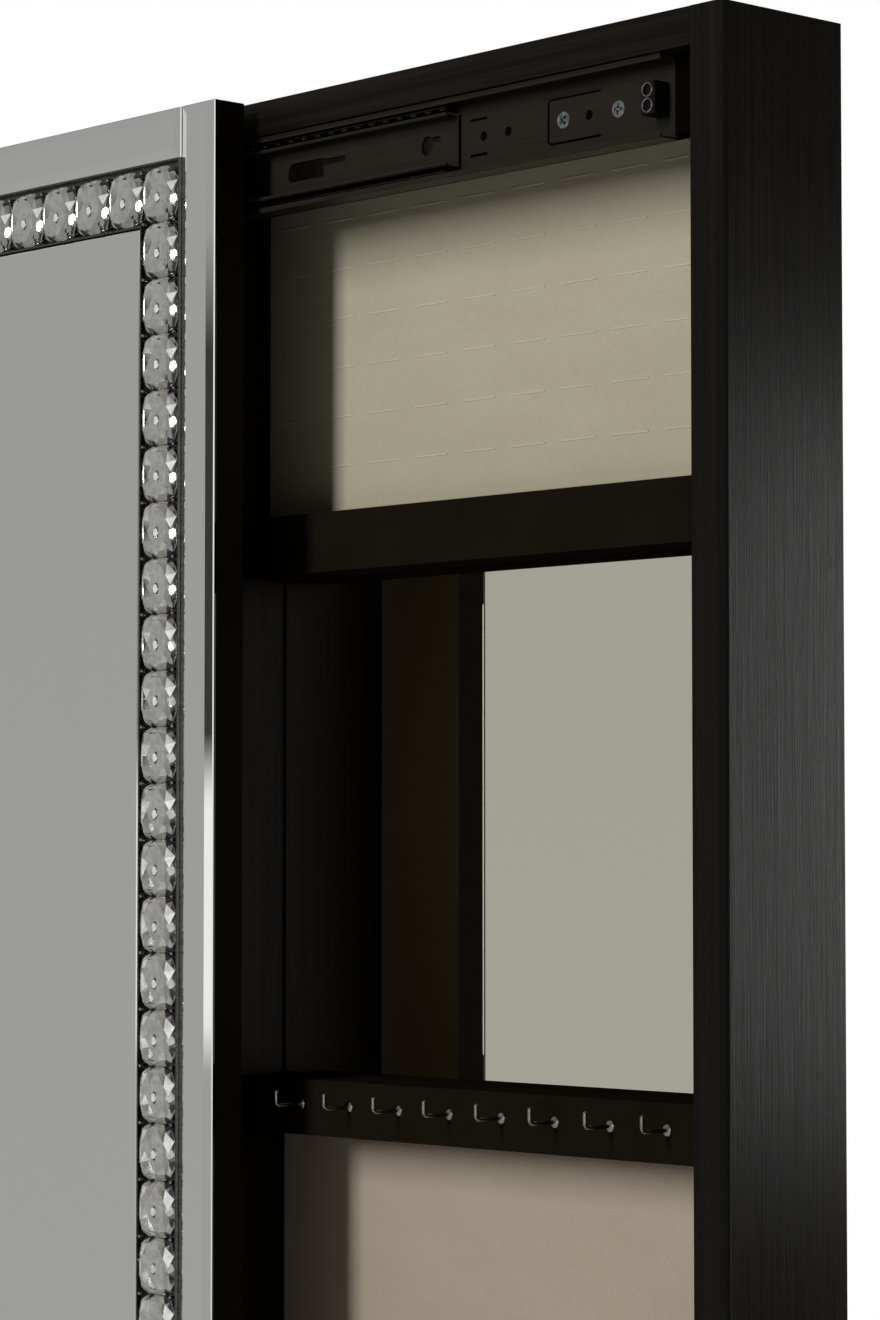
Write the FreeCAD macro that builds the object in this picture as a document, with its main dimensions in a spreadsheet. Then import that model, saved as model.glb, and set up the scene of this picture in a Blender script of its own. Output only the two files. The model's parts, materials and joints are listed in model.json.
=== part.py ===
import FreeCAD, Part
import os
import re

import Sketcher

# Wall-hung jewelry mirror cabinet whose mirrored door slides sideways on two drawer slides.
# Frame: X to the right, Y to the wall, Z up. The origin is on the back face, midway
# between the two hanger plates. The door is drawn open, slid to the left.

os.makedirs("parts", exist_ok=True)
doc = FreeCAD.newDocument("jewelry_mirror_cabinet")
sheet = doc.addObject("Spreadsheet::Sheet", "sizes")

# Driving dimensions in millimetres, and counts
SIZES = {
    # Carcass
    "cab_depth": 92,  # depth of the side panels
    "side_thickness": 23,  # thickness of a side panel
    "top_thickness": 20.5,  # thickness of the top and bottom panels
    "corner_radius": 4,  # rounding of the outer front corners
    "hanger_drop": 60,  # from the cabinet's top down to the hanger plates
    "lining_depth": 75.6,  # from the front edges back to the linings and the vanity mirror
    "lining_thickness": 4,  # thickness of a lining board
    "back_thickness": 5,  # thickness of the back panel
    "fit_gap": 0.5,  # clearance round panels that drop in between the sides
    "hanging_rail_height": 79,  # height of the hanging rail behind the back panel
    "spacer_rail_height": 60,  # height of the lower rail behind the back panel

    # Interior, from the top down
    "rail_recess": 40,  # from the front edges back to the rails' front faces
    "earring_depth": 62.5,  # from the front edges back to the earring panel
    "earring_bottom": 241,  # from the cabinet's top down to the upper rail
    "upper_rail_height": 35.6,  # height of the rail under the earring panel
    "mirror_height": 299.2,  # height of the vanity mirror
    "mirror_chamfer": 1.2,  # ground edge of the vanity mirror
    "hook_rail_height": 32.6,  # height of the rail that holds the hooks
    "necklace_height": 398,  # height of the necklace bay
    "shelf_thickness": 12,  # thickness of a shelf
    "shelf_recess": 16,  # from the front edges back to the shelves
    "shelf_bay_height": 62,  # height of the upper shelf bay
    "ledge_thickness": 4,  # thickness of the ledges along the shelves' front edges
    "ledge_height": 16,  # height of the ledges
    "batten_width": 20,  # width of the battens behind the earring panel

    # Slits of the earring panel
    "slit_length": 28,  # length of a slit
    "slit_height": 1.2,  # height of a slit
    "slit_pitch": 41,  # spacing of the slits in a row
    "slit_count": 10,  # slits in a row
    "slit_row_pitch": 29.6,  # spacing of the rows
    "slit_row_count": 6,  # rows of slits
    "slit_first_row": 63.4,  # from the cabinet's top down to the first row

    # Necklace hooks
    "hook_count": 8,  # hooks along the rail
    "hook_pitch": 43.2,  # spacing of the hooks
    "hook_wire": 2.4,  # diameter of the hook wire
    "hook_reach": 19,  # from the rail to the middle of the upturned tip
    "hook_rise": 9,  # from the middle of the shank to the top of the tip
    "hook_bend": 2.6,  # bend radius of the hook
    "hook_drop": 14.6,  # from the top of the hook rail down to the shanks
    "hook_thread": 12,  # length of shank inside the rail
    "collar_diameter": 7,  # diameter of the hook's collar
    "collar_thickness": 1.4,  # thickness of the hook's collar

    # Door
    "door_travel": 377.5,  # how far the door slides
    "door_gap": 10,  # from the door's back to the side panels' front edges
    "door_core": 20,  # thickness of the door frame
    "door_inset": 2,  # door short of the cabinet at top and at bottom
    "glass": 4,  # thickness of the door's mirrors
    "door_stile": 72,  # width of the door's frame members
    "door_panel_thickness": 11,  # thickness of the door's centre panel
    "strip_width": 30.5,  # width of the outer mirror strips
    "bevel_width": 6,  # width of the mirrors' ground bevels
    "bevel_drop": 1.6,  # how far a bevel falls at the mirror's edge
    "strip_joint": 1.2,  # gap between a cross strip and an upright strip
    "crystal_pitch": 33.3,  # spacing of the crystals
    "crystal_margin": 49.35,  # from the door's edge to the first crystals' centres
    "crystals_across": 12,  # crystals in the top row
    "crystals_down": 35,  # crystals in the right column
    "crystal_width": 31.6,  # width of a crystal at its girdle
    "crystal_table": 19.5,  # width of a crystal's flat table
    "crystal_girdle": 2.2,  # height of a crystal's girdle above its seat
    "crystal_height": 6.6,  # height of a crystal above its seat
    "crystal_corner": 0.46,  # corner cut of a crystal, as a share of its half width
    "crystal_shoulder_rise": 3,  # from the girdle's edge up to the shoulder facets
    "channel_floor": 0.8,  # thickness of the crystal channel's floor
    "channel_rim": 1.2,  # width of the crystal channel's rims
    "channel_depth": 4.4,  # height of the crystal channel's rims

    # Drawer slides
    "slide_length": 380,  # length of the slide member on the cabinet
    "slide_end": 24,  # from the right side panel to the slide's right end
    "slide_height": 45,  # height of the slide
    "slide_depth": 12.7,  # thickness of the slide
    "slide_inset": 2,  # from the front edges back to the slide
    "slide_gap": 0.4,  # clearance above the slide
    "slide_sheet": 1.2,  # sheet thickness of the slide members
    "slide_lip": 3,  # height of the cabinet member's turned lips
    "board_thickness": 15,  # thickness of the boards that carry the slides
    "board_height": 42,  # height of the boards that carry the slides
    "middle_length": 364,  # length of the middle member
    "middle_height": 30,  # height of the middle member
    "middle_travel": 152,  # how far the middle member slides
    "runner_height": 19,  # height of the door member
    "runner_length": 364,  # length of the door member
    "outer_ball": 6,  # diameter of the balls round the middle member
    "inner_ball": 4,  # diameter of the balls round the door member
    "ball_pitch": 12,  # spacing of the balls in a cage
    "outer_ball_count": 16,  # balls in a row of the outer cage
    "inner_ball_count": 11,  # balls in a row of the inner cage
    "cage_sheet": 0.7,  # sheet thickness of the ball cages
    "running_gap": 0.5,  # clearance between the webs of members and cages
    "cage_inset": 8,  # from the last balls to the end of the member they carry
    "stop_inset": 15.7,  # from the slide's right end to where the moving members stop
    "stop_gap": 1,  # gap between the closed members and the end stop
    "stop_width": 10.4,  # width of the end stop
    "stop_height": 18,  # height of the end stop
    "stop_dimple": 6.8,  # diameter of the two dimples in the end stop
    "stop_dimple_rise": 4.2,  # from the end stop's middle to a dimple
    "stop_dimple_depth": 1.2,  # depth of a dimple
    "batten_height": 16,  # height of the door's mounting battens
    "side_notch_gap": 1.5,  # clearance round the slides where they pass the left side

    # Holes and pressed marks of the slide members, measured from a member's right end
    "slide_screw_first": 42.6,  # to the first slide screw
    "slide_screw_second": 85.1,  # to the second slide screw
    "slide_screw_last": 31,  # to the last slide screw from the left end of the member or of its board
    "access_hole": 5.5,  # diameter of the web's spare holes
    "access_first": 65,  # to the first spare hole
    "access_second": 129,  # to the second spare hole
    "access_third": 149,  # to the third spare hole
    "press_depth": 0.5,  # depth of the pressed marks
    "press_line": 1.6,  # width of a pressed line
    "dash_mark": 153,  # to the middle of the pressed dashes
    "dash_length": 14,  # length of a pressed dash
    "dash_rise": 10,  # from the slide's middle to a pressed dash
    "outline_right": 56,  # to the open end of the pressed outline
    "outline_left": 97.6,  # to the closed end of the pressed outline
    "outline_rise": 12.8,  # from the slide's middle to the pressed outline
    "key_mark": 25,  # to the round hole of the middle member
    "key_hole": 11,  # diameter of the middle member's round hole
    "key_notch": 3.4,  # height of the notch beside the round hole
    "key_notch_rise": 1,  # from the slide's middle up to the notch
    "long_hole_mark": 148,  # to the left end of the middle member's long hole
    "long_hole_length": 33,  # length of the long hole
    "long_hole_height": 11,  # height of the long hole
    "long_notch_length": 19,  # length of the notch beside the long hole
    "door_screw_inset": 14,  # from the door's stiles to a door member's outermost screws
    "door_screw_count": 3,  # screws of a door member
    "door_screw_length": 22,  # length of the door member's screws

    # Fasteners
    "screw_head": 9.2,  # diameter of the slide screws' countersunk heads
    "screw_head_height": 2.4,  # height of the slide screws' countersunk heads
    "recess_depth": 1.3,  # depth of the screws' cross recess
    "screw_shank": 4,  # diameter of the slide screws' shanks
    "screw_length": 13,  # length of the slide screws' shanks
    "cross_slot": 1.1,  # width of the screws' cross recess
    "cross_length": 5.5,  # length of the screws' cross recess
    "screw_fit": 0.1,  # radial clearance of a screw in its hole
    "hanger_spacing": 300,  # between the hanger plates' holes
    "hanger_hole": 10,  # diameter of a hanger plate's round opening
    "hanger_slot": 5,  # width of a hanger plate's slot
    "hanger_slot_rise": 11,  # from the round opening up to the slot's end
    "hanger_plate_height": 52,  # height of a hanger plate
    "hanger_plate_width": 18,  # width of a hanger plate
    "hanger_plate_thickness": 1.6,  # thickness of a hanger plate
    "hanger_screw_offset": 20,  # from the round opening to a hanger plate's screws
    "pocket_gap": 1,  # clearance round the wall screw's head in its pocket
    "hole_floor": 0.6,  # wood left in front of a hanger plate's screw holes
    "tip_gap": 0.2,  # gap at the tips of the hanger plates' screws
    "small_screw": 3,  # diameter of the small screws' shanks
    "small_screw_head": 5.6,  # diameter of the small screws' heads
    "small_screw_head_height": 1,  # height of the small screws' heads
}
for row, (alias, value) in enumerate(SIZES.items(), 1):
    sheet.set(f"A{row}", alias)
    sheet.set(f"B{row}", str(value))
    sheet.setAlias(f"B{row}", alias)
doc.recompute()

ALIASES = re.compile(r"(?<![\w.])(" + "|".join(sorted(SIZES, key=len, reverse=True)) + r")(?!\w)")


def expression(text):
    """The text with every size name pointed at its cell."""
    return ALIASES.sub(r"sizes.\1", str(text))


def number(text):
    return float(sheet.evalExpression(expression(text)))


def bind(obj, **properties):
    for name, text in properties.items():
        obj.setExpression(name.replace("__", "."), expression(text))


def place(obj, x, y, z):
    bind(obj, Placement__Base__x=x, Placement__Base__y=y, Placement__Base__z=z)


# Levels, as expressions of the sizes. The closed door is as wide as the cabinet.
FRONT = "(-cab_depth)"
TOP = "hanger_drop"
DOOR_WIDTH = "(2*crystal_margin + (crystals_across - 1)*crystal_pitch)"
DOOR_HEIGHT = "(2*crystal_margin + (crystals_down - 1)*crystal_pitch)"
RIGHT = f"({DOOR_WIDTH}/2)"
INNER_RIGHT = f"({RIGHT} - side_thickness)"
INNER_LEFT = f"(-{INNER_RIGHT})"
BOTTOM = f"(hanger_drop - 2*door_inset - {DOOR_HEIGHT})"
UNDER_TOP = "(hanger_drop - top_thickness)"
ABOVE_BOTTOM = f"({BOTTOM} + top_thickness)"
LINING_FRONT = "(lining_depth - cab_depth)"
BACK_FRONT = "(lining_depth + lining_thickness - cab_depth)"
BACK_REAR = "(lining_depth + lining_thickness + back_thickness - cab_depth)"
PAST = "1"  # how far a cutting tool runs past the face it opens

nodes = {}


def node(name, obj):
    """Keeps a finished sub-part under the name of its file."""
    obj.Label = name
    nodes[name] = obj
    return obj


def box(name, x, y, z):
    """A block between two expressions on each axis."""
    made = doc.addObject("Part::Box", name)
    bind(made, Length=f"{x[1]} - ({x[0]})", Width=f"{y[1]} - ({y[0]})", Height=f"{z[1]} - ({z[0]})")
    place(made, x[0], y[0], z[0])
    return made


AXES = {
    "X": FreeCAD.Rotation(FreeCAD.Vector(0, 1, 0), 90),
    "Y": FreeCAD.Rotation(FreeCAD.Vector(1, 0, 0), -90),
    "Z": FreeCAD.Rotation(),
}


def cylinder(name, diameter, start, axis, length):
    """A round bar from its start point along +X, +Y or +Z."""
    made = doc.addObject("Part::Cylinder", name)
    made.Placement = FreeCAD.Placement(FreeCAD.Vector(), AXES[axis])
    bind(made, Radius=f"({diameter})/2", Height=length)
    place(made, *start)
    return made


def group(name, shapes):
    made = doc.addObject("Part::Compound", name)
    made.Links = shapes
    return made


def fuse(name, shapes):
    made = doc.addObject("Part::MultiFuse", name)
    made.Shapes = shapes
    return made


def cut(name, base, tools):
    made = doc.addObject("Part::Cut", name)
    made.Base = base
    made.Tool = tools[0] if len(tools) == 1 else group(f"{name}_tools", tools)
    return made


def plane_of(body, role):
    return next(f for f in body.Origin.OriginFeatures if f.Role == role)


def outline(body, name, role, points, offset):
    """A closed sketch whose corners are held by their distances from the origin."""
    sketch = body.newObject("Sketcher::SketchObject", name)
    sketch.AttachmentSupport = [(plane_of(body, role), "")]
    sketch.MapMode = "FlatFace"
    bind(sketch, AttachmentOffset__Base__z=offset)
    spots = [FreeCAD.Vector(number(u), number(v), 0) for u, v in points]
    for here, there in zip(spots, spots[1:] + spots[:1]):
        sketch.addGeometry(Part.LineSegment(here, there), False)
    for index in range(len(points)):
        following = (index + 1) % len(points)
        sketch.addConstraint(Sketcher.Constraint("Coincident", index, 2, following, 1))
    for index, (corner, spot) in enumerate(zip(points, spots)):
        for kind, text, value in (("DistanceX", corner[0], spot.x), ("DistanceY", corner[1], spot.y)):
            held = sketch.addConstraint(Sketcher.Constraint(kind, -1, 1, index, 1, value))
            sketch.setExpression(f"Constraints[{held}]", expression(text))
    return sketch


def pad(body, name, sketch, length):
    made = body.newObject("PartDesign::Pad", name)
    made.Profile = sketch
    bind(made, Length=length)
    body.Tip = made
    return made


def upright_edges(shape, x, y):
    """Names of the edges that run along Z at the given X and Y."""
    found = []
    for index, edge in enumerate(shape.Edges):
        ends = [v.Point for v in edge.Vertexes]
        if len(ends) == 2 and all(abs(p.x - x) < 0.01 and abs(p.y - y) < 0.01 for p in ends):
            found.append(f"Edge{index + 1}")
    return found


# ---------------------------------------------------------------- drawer slide levels
SLIDE_FRONT = "(slide_inset - cab_depth)"
SLIDE_BACK = "(slide_inset + slide_depth - cab_depth)"
SLIDE_RIGHT = f"({INNER_RIGHT} - slide_end)"
SLIDE_LEFT = f"({SLIDE_RIGHT} - slide_length)"
SLIDES = {
    "upper": f"({UNDER_TOP} - slide_gap - slide_height/2)",
    "lower": f"({ABOVE_BOTTOM} + slide_gap + slide_height/2)",
}
DOOR_RIGHT = f"({RIGHT} - door_travel)"
DOOR_LEFT = f"({DOOR_RIGHT} - {DOOR_WIDTH})"
DOOR_TOP = "(hanger_drop - door_inset)"
DOOR_BOTTOM = f"({DOOR_TOP} - {DOOR_HEIGHT})"
DOOR_BACK = "(-cab_depth - door_gap)"
CORE_FRONT = "(-cab_depth - door_gap - door_core)"
DOOR_FRONT = "(-cab_depth - door_gap - door_core - glass)"


# ---------------------------------------------------------------- carcass
def side_panel(name, outer, inner):
    """A full-height side panel with its outer front corner rounded over."""
    body = doc.addObject("PartDesign::Body", name)
    corners = [(outer, "0"), (outer, FRONT), (inner, FRONT), (inner, "0")]
    sketch = outline(body, f"{name}_outline", "XY_Plane", corners, BOTTOM)
    blank = pad(body, f"{name}_pad", sketch, f"{TOP} - {BOTTOM}")
    doc.recompute()
    corner = upright_edges(blank.Shape, number(outer), number(FRONT))
    rounding = body.newObject("PartDesign::Fillet", f"{name}_round")
    rounding.Base = (blank, corner)
    bind(rounding, Radius="corner_radius")
    body.Tip = rounding
    return body


node("side_right", side_panel("side_right", RIGHT, INNER_RIGHT))

# The slide members leave through the left side when the door opens, so it is notched there.
left_blank = side_panel("side_left_blank", f"(-{RIGHT})", INNER_LEFT)
notch_height = "(slide_height/2 + side_notch_gap)"
notches = []
for which, centre in SLIDES.items():
    inwards = {"upper": (f"{centre} - {notch_height}", UNDER_TOP),
               "lower": (ABOVE_BOTTOM, f"{centre} + {notch_height}")}[which]
    notches.append(box(f"{which}_notch", (f"-{RIGHT} - {PAST}", f"{INNER_LEFT} + {PAST}"),
                       (f"{FRONT} - {PAST}", f"{SLIDE_BACK} + side_notch_gap"), inwards))
node("side_left", cut("side_left", left_blank, notches))

ACROSS = (INNER_LEFT, INNER_RIGHT)
node("top_panel", box("top_panel", ACROSS, (FRONT, "0"), (UNDER_TOP, TOP)))
node("bottom_panel", box("bottom_panel", ACROSS, (FRONT, "0"), (BOTTOM, ABOVE_BOTTOM)))
node("back_panel", box("back_panel", ACROSS, (BACK_FRONT, BACK_REAR), (ABOVE_BOTTOM, UNDER_TOP)))
node("spacer_rail", box("spacer_rail", ACROSS, (BACK_REAR, "0"),
                        (ABOVE_BOTTOM, f"{ABOVE_BOTTOM} + spacer_rail_height")))

# Hanging rail, with a pocket behind each hanger plate for the wall screw's head
THROUGH_PLATE = (f"(-hanger_plate_thickness - {PAST})", f"(hanger_plate_thickness + 2*{PAST})")
rail_blank = box("hanging_rail_blank", ACROSS, (BACK_REAR, "0"),
                 (f"{UNDER_TOP} - hanging_rail_height", UNDER_TOP))
plates, plate_screws, rail_cuts = [], [], []
for side in (-1, 1):
    label = "left" if side < 0 else "right"
    middle = f"({side}*hanger_spacing/2)"
    half_width, half_height = "(hanger_plate_width/2)", "(hanger_plate_height/2)"
    pocket = "(hanger_hole/2 + pocket_gap)"
    rail_cuts.append(box(f"{label}_plate_seat",
                         (f"{middle} - {half_width}", f"{middle} + {half_width}"),
                         ("-hanger_plate_thickness", PAST), (f"-{half_height}", half_height)))
    rail_cuts.append(box(f"{label}_head_pocket",
                         (f"{middle} - {pocket}", f"{middle} + {pocket}"),
                         (f"{BACK_REAR} - {PAST}", "0"), (f"-{pocket}", f"hanger_slot_rise + {pocket}")))
    plate = box(f"{label}_plate_blank", (f"{middle} - {half_width}", f"{middle} + {half_width}"),
                ("-hanger_plate_thickness", "0"), (f"-{half_height}", half_height))
    openings = [
        cylinder(f"{label}_round_opening", "hanger_hole", (middle, THROUGH_PLATE[0], "0"), "Y",
                 THROUGH_PLATE[1]),
        box(f"{label}_slot", (f"{middle} - hanger_slot/2", f"{middle} + hanger_slot/2"),
            (THROUGH_PLATE[0], PAST), ("0", "hanger_slot_rise")),
        cylinder(f"{label}_slot_end", "hanger_slot", (middle, THROUGH_PLATE[0], "hanger_slot_rise"),
                 "Y", THROUGH_PLATE[1]),
    ]
    for up in (-1, 1):
        spot = f"({up}*hanger_screw_offset)"
        hole = "(small_screw + 2*screw_fit)"
        openings.append(cylinder(f"{label}_plate_hole", hole, (middle, THROUGH_PLATE[0], spot), "Y",
                                 THROUGH_PLATE[1]))
        depth = f"({BACK_REAR} + hole_floor)"
        rail_cuts.append(cylinder(f"{label}_rail_hole", hole, (middle, depth, spot), "Y", f"-{depth}"))
        plate_screws.append(fuse(f"{label}_plate_screw", [
            cylinder(f"{label}_screw_shank", "small_screw", (middle, f"{depth} + tip_gap", spot),
                     "Y", f"-{depth} - tip_gap"),
            cylinder(f"{label}_screw_head", "small_screw_head", (middle, "0", spot), "Y",
                     "small_screw_head_height"),
        ]))
    plates.append(cut(f"{label}_plate", plate, openings))
node("hanging_rail", cut("hanging_rail", rail_blank, rail_cuts))
node("hanger_plates", group("hanger_plates", plates))
node("hanger_screws", group("hanger_screws", plate_screws))

# ---------------------------------------------------------------- earring bay
EARRING_FRONT = "(earring_depth - cab_depth)"
EARRING_BACK = "(earring_depth + lining_thickness - cab_depth)"
RAIL_FRONT = "(rail_recess - cab_depth)"
EARRING_FLOOR = "(hanger_drop - earring_bottom)"
BETWEEN = (f"({INNER_LEFT} + fit_gap)", f"({INNER_RIGHT} - fit_gap)")

panel_blank = box("earring_blank", BETWEEN, (EARRING_FRONT, EARRING_BACK), (EARRING_FLOOR, UNDER_TOP))
slits = []
for row in range(SIZES["slit_row_count"]):
    level = f"(hanger_drop - slit_first_row - {row}*slit_row_pitch)"
    for column in range(SIZES["slit_count"]):
        middle = f"(({column} - (slit_count - 1)/2)*slit_pitch)"
        slits.append(box("slit", (f"{middle} - slit_length/2", f"{middle} + slit_length/2"),
                         (f"{EARRING_FRONT} - {PAST}", f"{EARRING_BACK} + {PAST}"),
                         (f"{level} - slit_height/2", f"{level} + slit_height/2")))
node("earring_panel", cut("earring_panel", panel_blank, slits))

battens = []
for label, edge, inward in (("left", BETWEEN[0], "batten_width"), ("right", BETWEEN[1], "-batten_width")):
    ends = (edge, f"{edge} + {inward}") if label == "left" else (f"{edge} {inward}", edge)
    battens.append(box(f"{label}_batten", ends, (EARRING_BACK, BACK_FRONT), (EARRING_FLOOR, UNDER_TOP)))
node("earring_battens", group("earring_battens", battens))

# ---------------------------------------------------------------- rails, mirror, necklace bay
MIRROR_TOP = f"({EARRING_FLOOR} - upper_rail_height)"
MIRROR_BOTTOM = f"({MIRROR_TOP} - mirror_height)"
HOOK_RAIL_BOTTOM = f"({MIRROR_BOTTOM} - hook_rail_height)"
NECKLACE_BOTTOM = f"({HOOK_RAIL_BOTTOM} - necklace_height)"
SHELF_BAY_TOP = f"({NECKLACE_BOTTOM} - shelf_thickness)"
LOW_SHELF_TOP = f"({SHELF_BAY_TOP} - shelf_bay_height)"
LOW_BAY_TOP = f"({LOW_SHELF_TOP} - shelf_thickness)"
LOW_BOARD_TOP = f"({ABOVE_BOTTOM} + board_height)"
FLOOR_TOP = f"({LOW_BOARD_TOP} + shelf_thickness)"

node("upper_rail", box("upper_rail", ACROSS, (RAIL_FRONT, BACK_FRONT), (MIRROR_TOP, EARRING_FLOOR)))


def mirror_glass(name, x, z, front, bevel, drop, back):
    """A mirror whose four front edges are ground: a flat plate under a shallow frustum."""
    bevelled = doc.addObject("Part::Wedge", f"{name}_bevel")
    bind(bevelled, Xmin=f"{x[0]} + {bevel}", Xmax=f"{x[1]} - {bevel}",
         Zmin=f"{z[0]} + {bevel}", Zmax=f"{z[1]} - {bevel}", Ymin=front, Ymax=f"{front} + {drop}",
         X2min=x[0], X2max=x[1], Z2min=z[0], Z2max=z[1])
    plate = box(f"{name}_plate", x, (f"{front} + {drop}", back), z)
    return fuse(name, [bevelled, plate])


node("vanity_mirror", mirror_glass("vanity_mirror", BETWEEN, (MIRROR_BOTTOM, MIRROR_TOP),
                                   LINING_FRONT, "mirror_chamfer", "mirror_chamfer", BACK_FRONT))

SHANK_LEVEL = f"({MIRROR_BOTTOM} - hook_drop)"
BEND_START = f"({RAIL_FRONT} - hook_reach + hook_bend)"
hook_rail_blank = box("hook_rail_blank", ACROSS, (RAIL_FRONT, BACK_FRONT),
                      (HOOK_RAIL_BOTTOM, MIRROR_BOTTOM))
hooks, thread_holes = [], []
for index in range(SIZES["hook_count"]):
    x = f"(({index} - (hook_count - 1)/2)*hook_pitch)"
    thread_holes.append(cylinder("thread_hole", "hook_wire + 2*screw_fit",
                                 (x, f"{RAIL_FRONT} - {PAST}", SHANK_LEVEL), "Y", f"hook_thread + 2*{PAST}"))
    bend = doc.addObject("Part::Torus", "hook_bend_ring")
    bend.Placement = FreeCAD.Placement(FreeCAD.Vector(), FreeCAD.Rotation(FreeCAD.Vector(0, 1, 0), 90))
    bind(bend, Radius1="hook_bend", Radius2="hook_wire/2")
    place(bend, x, BEND_START, f"{SHANK_LEVEL} + hook_bend")
    corner = box("hook_bend_quarter", (f"{x} - hook_wire", f"{x} + hook_wire"),
                 (f"{BEND_START} - hook_bend - hook_wire", BEND_START),
                 (f"{SHANK_LEVEL} - hook_wire", f"{SHANK_LEVEL} + hook_bend"))
    quarter = doc.addObject("Part::Common", "hook_corner")
    quarter.Base, quarter.Tool = bend, corner
    tip = doc.addObject("Part::Sphere", "hook_tip")
    bind(tip, Radius="hook_wire/2")
    place(tip, x, f"{RAIL_FRONT} - hook_reach", f"{SHANK_LEVEL} + hook_rise - hook_wire/2")
    hooks.append(fuse("hook", [
        cylinder("hook_shank", "hook_wire", (x, BEND_START, SHANK_LEVEL), "Y",
                 f"{RAIL_FRONT} + hook_thread - {BEND_START}"),
        cylinder("hook_collar", "collar_diameter", (x, f"{RAIL_FRONT} - collar_thickness", SHANK_LEVEL),
                 "Y", "collar_thickness"),
        quarter,
        cylinder("hook_upright", "hook_wire",
                 (x, f"{RAIL_FRONT} - hook_reach", f"{SHANK_LEVEL} + hook_bend"), "Z",
                 "hook_rise - hook_bend - hook_wire/2"),
        tip,
    ]))
node("hook_rail", cut("hook_rail", hook_rail_blank, thread_holes))
node("necklace_hooks", group("necklace_hooks", hooks))

node("necklace_panel", box("necklace_panel", BETWEEN, (LINING_FRONT, BACK_FRONT),
                           (NECKLACE_BOTTOM, HOOK_RAIL_BOTTOM)))

SHELF_DEPTH = ("(shelf_recess - cab_depth)", BACK_FRONT)
node("upper_shelf", box("upper_shelf", ACROSS, SHELF_DEPTH, (SHELF_BAY_TOP, NECKLACE_BOTTOM)))
node("lower_shelf", box("lower_shelf", ACROSS, SHELF_DEPTH, (LOW_BAY_TOP, LOW_SHELF_TOP)))
node("floor_board", box("floor_board", ACROSS, SHELF_DEPTH, (LOW_BOARD_TOP, FLOOR_TOP)))
LEDGE = ("(shelf_recess - cab_depth)", "(shelf_recess + ledge_thickness - cab_depth)")
node("shelf_ledges", group("shelf_ledges", [
    box(f"{label}_ledge", ACROSS, LEDGE, (top, f"{top} + ledge_height"))
    for label, top in (("upper", NECKLACE_BOTTOM), ("lower", LOW_SHELF_TOP), ("floor", FLOOR_TOP))
]))
node("shelf_linings", group("shelf_linings", [
    box("upper_lining", BETWEEN, (LINING_FRONT, BACK_FRONT), (LOW_SHELF_TOP, SHELF_BAY_TOP)),
    box("lower_lining", BETWEEN, (LINING_FRONT, BACK_FRONT), (FLOOR_TOP, LOW_BAY_TOP)),
]))

# ---------------------------------------------------------------- drawer slides
BOARD_BACK = f"({SLIDE_BACK} + board_thickness)"
WEB_FRONT = f"({SLIDE_BACK} - slide_sheet)"
OUTER_CAGE_BACK = f"({WEB_FRONT} - running_gap)"
MIDDLE_BACK = f"({OUTER_CAGE_BACK} - cage_sheet - running_gap)"
MIDDLE_FRONT = f"({SLIDE_FRONT} + running_gap)"
INNER_CAGE_BACK = f"({MIDDLE_BACK} - slide_sheet - running_gap)"
MIDDLE_RIGHT = f"({SLIDE_RIGHT} - stop_inset - middle_travel)"
RUNNER_RIGHT = f"({SLIDE_RIGHT} - stop_inset - door_travel)"
OUTER_ROW = "((slide_height/2 - slide_sheet + middle_height/2)/2)"
INNER_ROW = "((middle_height/2 - slide_sheet + runner_height/2)/2)"
BALL_PLANE = f"(({SLIDE_FRONT} + {WEB_FRONT})/2)"
INNER_BALL_PLANE = f"({SLIDE_FRONT} + slide_sheet + inner_ball/2 + running_gap)"


def channel(name, x, web, rim, half, centre, lip="0", sheet_size="slide_sheet"):
    """A folded sheet channel along X, from its web to its rim, with lips turned inwards."""
    inward = "-" if number(web) > number(rim) else "+"
    outward = "+" if inward == "-" else "-"
    web_inner = f"({web} {inward} {sheet_size})"
    inner = f"({half} - {sheet_size})"
    low, high = f"({centre} - {half})", f"({centre} + {half})"
    low_in, high_in = f"({centre} - {inner})", f"({centre} + {inner})"
    corners = [(web, low), (rim, low)]
    if lip != "0":
        turned = f"({rim} {outward} {sheet_size})"
        corners += [(rim, f"{low} + {lip}"), (turned, f"{low} + {lip}"), (turned, low_in)]
    else:
        corners += [(rim, low_in)]
    corners += [(web_inner, low_in), (web_inner, high_in)]
    if lip != "0":
        corners += [(turned, high_in), (turned, f"{high} - {lip}"), (rim, f"{high} - {lip}")]
    else:
        corners += [(rim, high_in)]
    corners += [(rim, high), (web, high)]
    body = doc.addObject("PartDesign::Body", name)
    sketch = outline(body, f"{name}_section", "YZ_Plane", corners, x[0])
    pad(body, f"{name}_pad", sketch, f"{x[1]} - {x[0]}")
    return body


def countersunk(name, x, face, z, length, fit):
    """A countersunk screw's form along +Y from its flush face, widened all round by a fit."""
    head = doc.addObject("Part::Cone", f"{name}_head")
    head.Placement = FreeCAD.Placement(FreeCAD.Vector(), AXES["Y"])
    bind(head, Radius1=f"screw_head/2 + {fit}", Radius2=f"screw_shank/2 + {fit}", Height="screw_head_height")
    place(head, x, face, z)
    shank = cylinder(f"{name}_shank", f"screw_shank + 2*{fit}", (x, face, z), "Y", length)
    return fuse(name, [head, shank])


def screw(name, x, face, z):
    """A slide screw with its cross recess."""
    level, upright = ("cross_length/2", "cross_slot/2"), ("cross_slot/2", "cross_length/2")
    recess = [
        box(f"{name}_recess", (f"{x} - {a}", f"{x} + {a}"),
            (f"{face} - recess_depth", f"{face} + recess_depth"), (f"{z} - {b}", f"{z} + {b}"))
        for a, b in (level, upright)
    ]
    return cut(name, countersunk(f"{name}_solid", x, face, z, "screw_length", "0"), recess)


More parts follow.
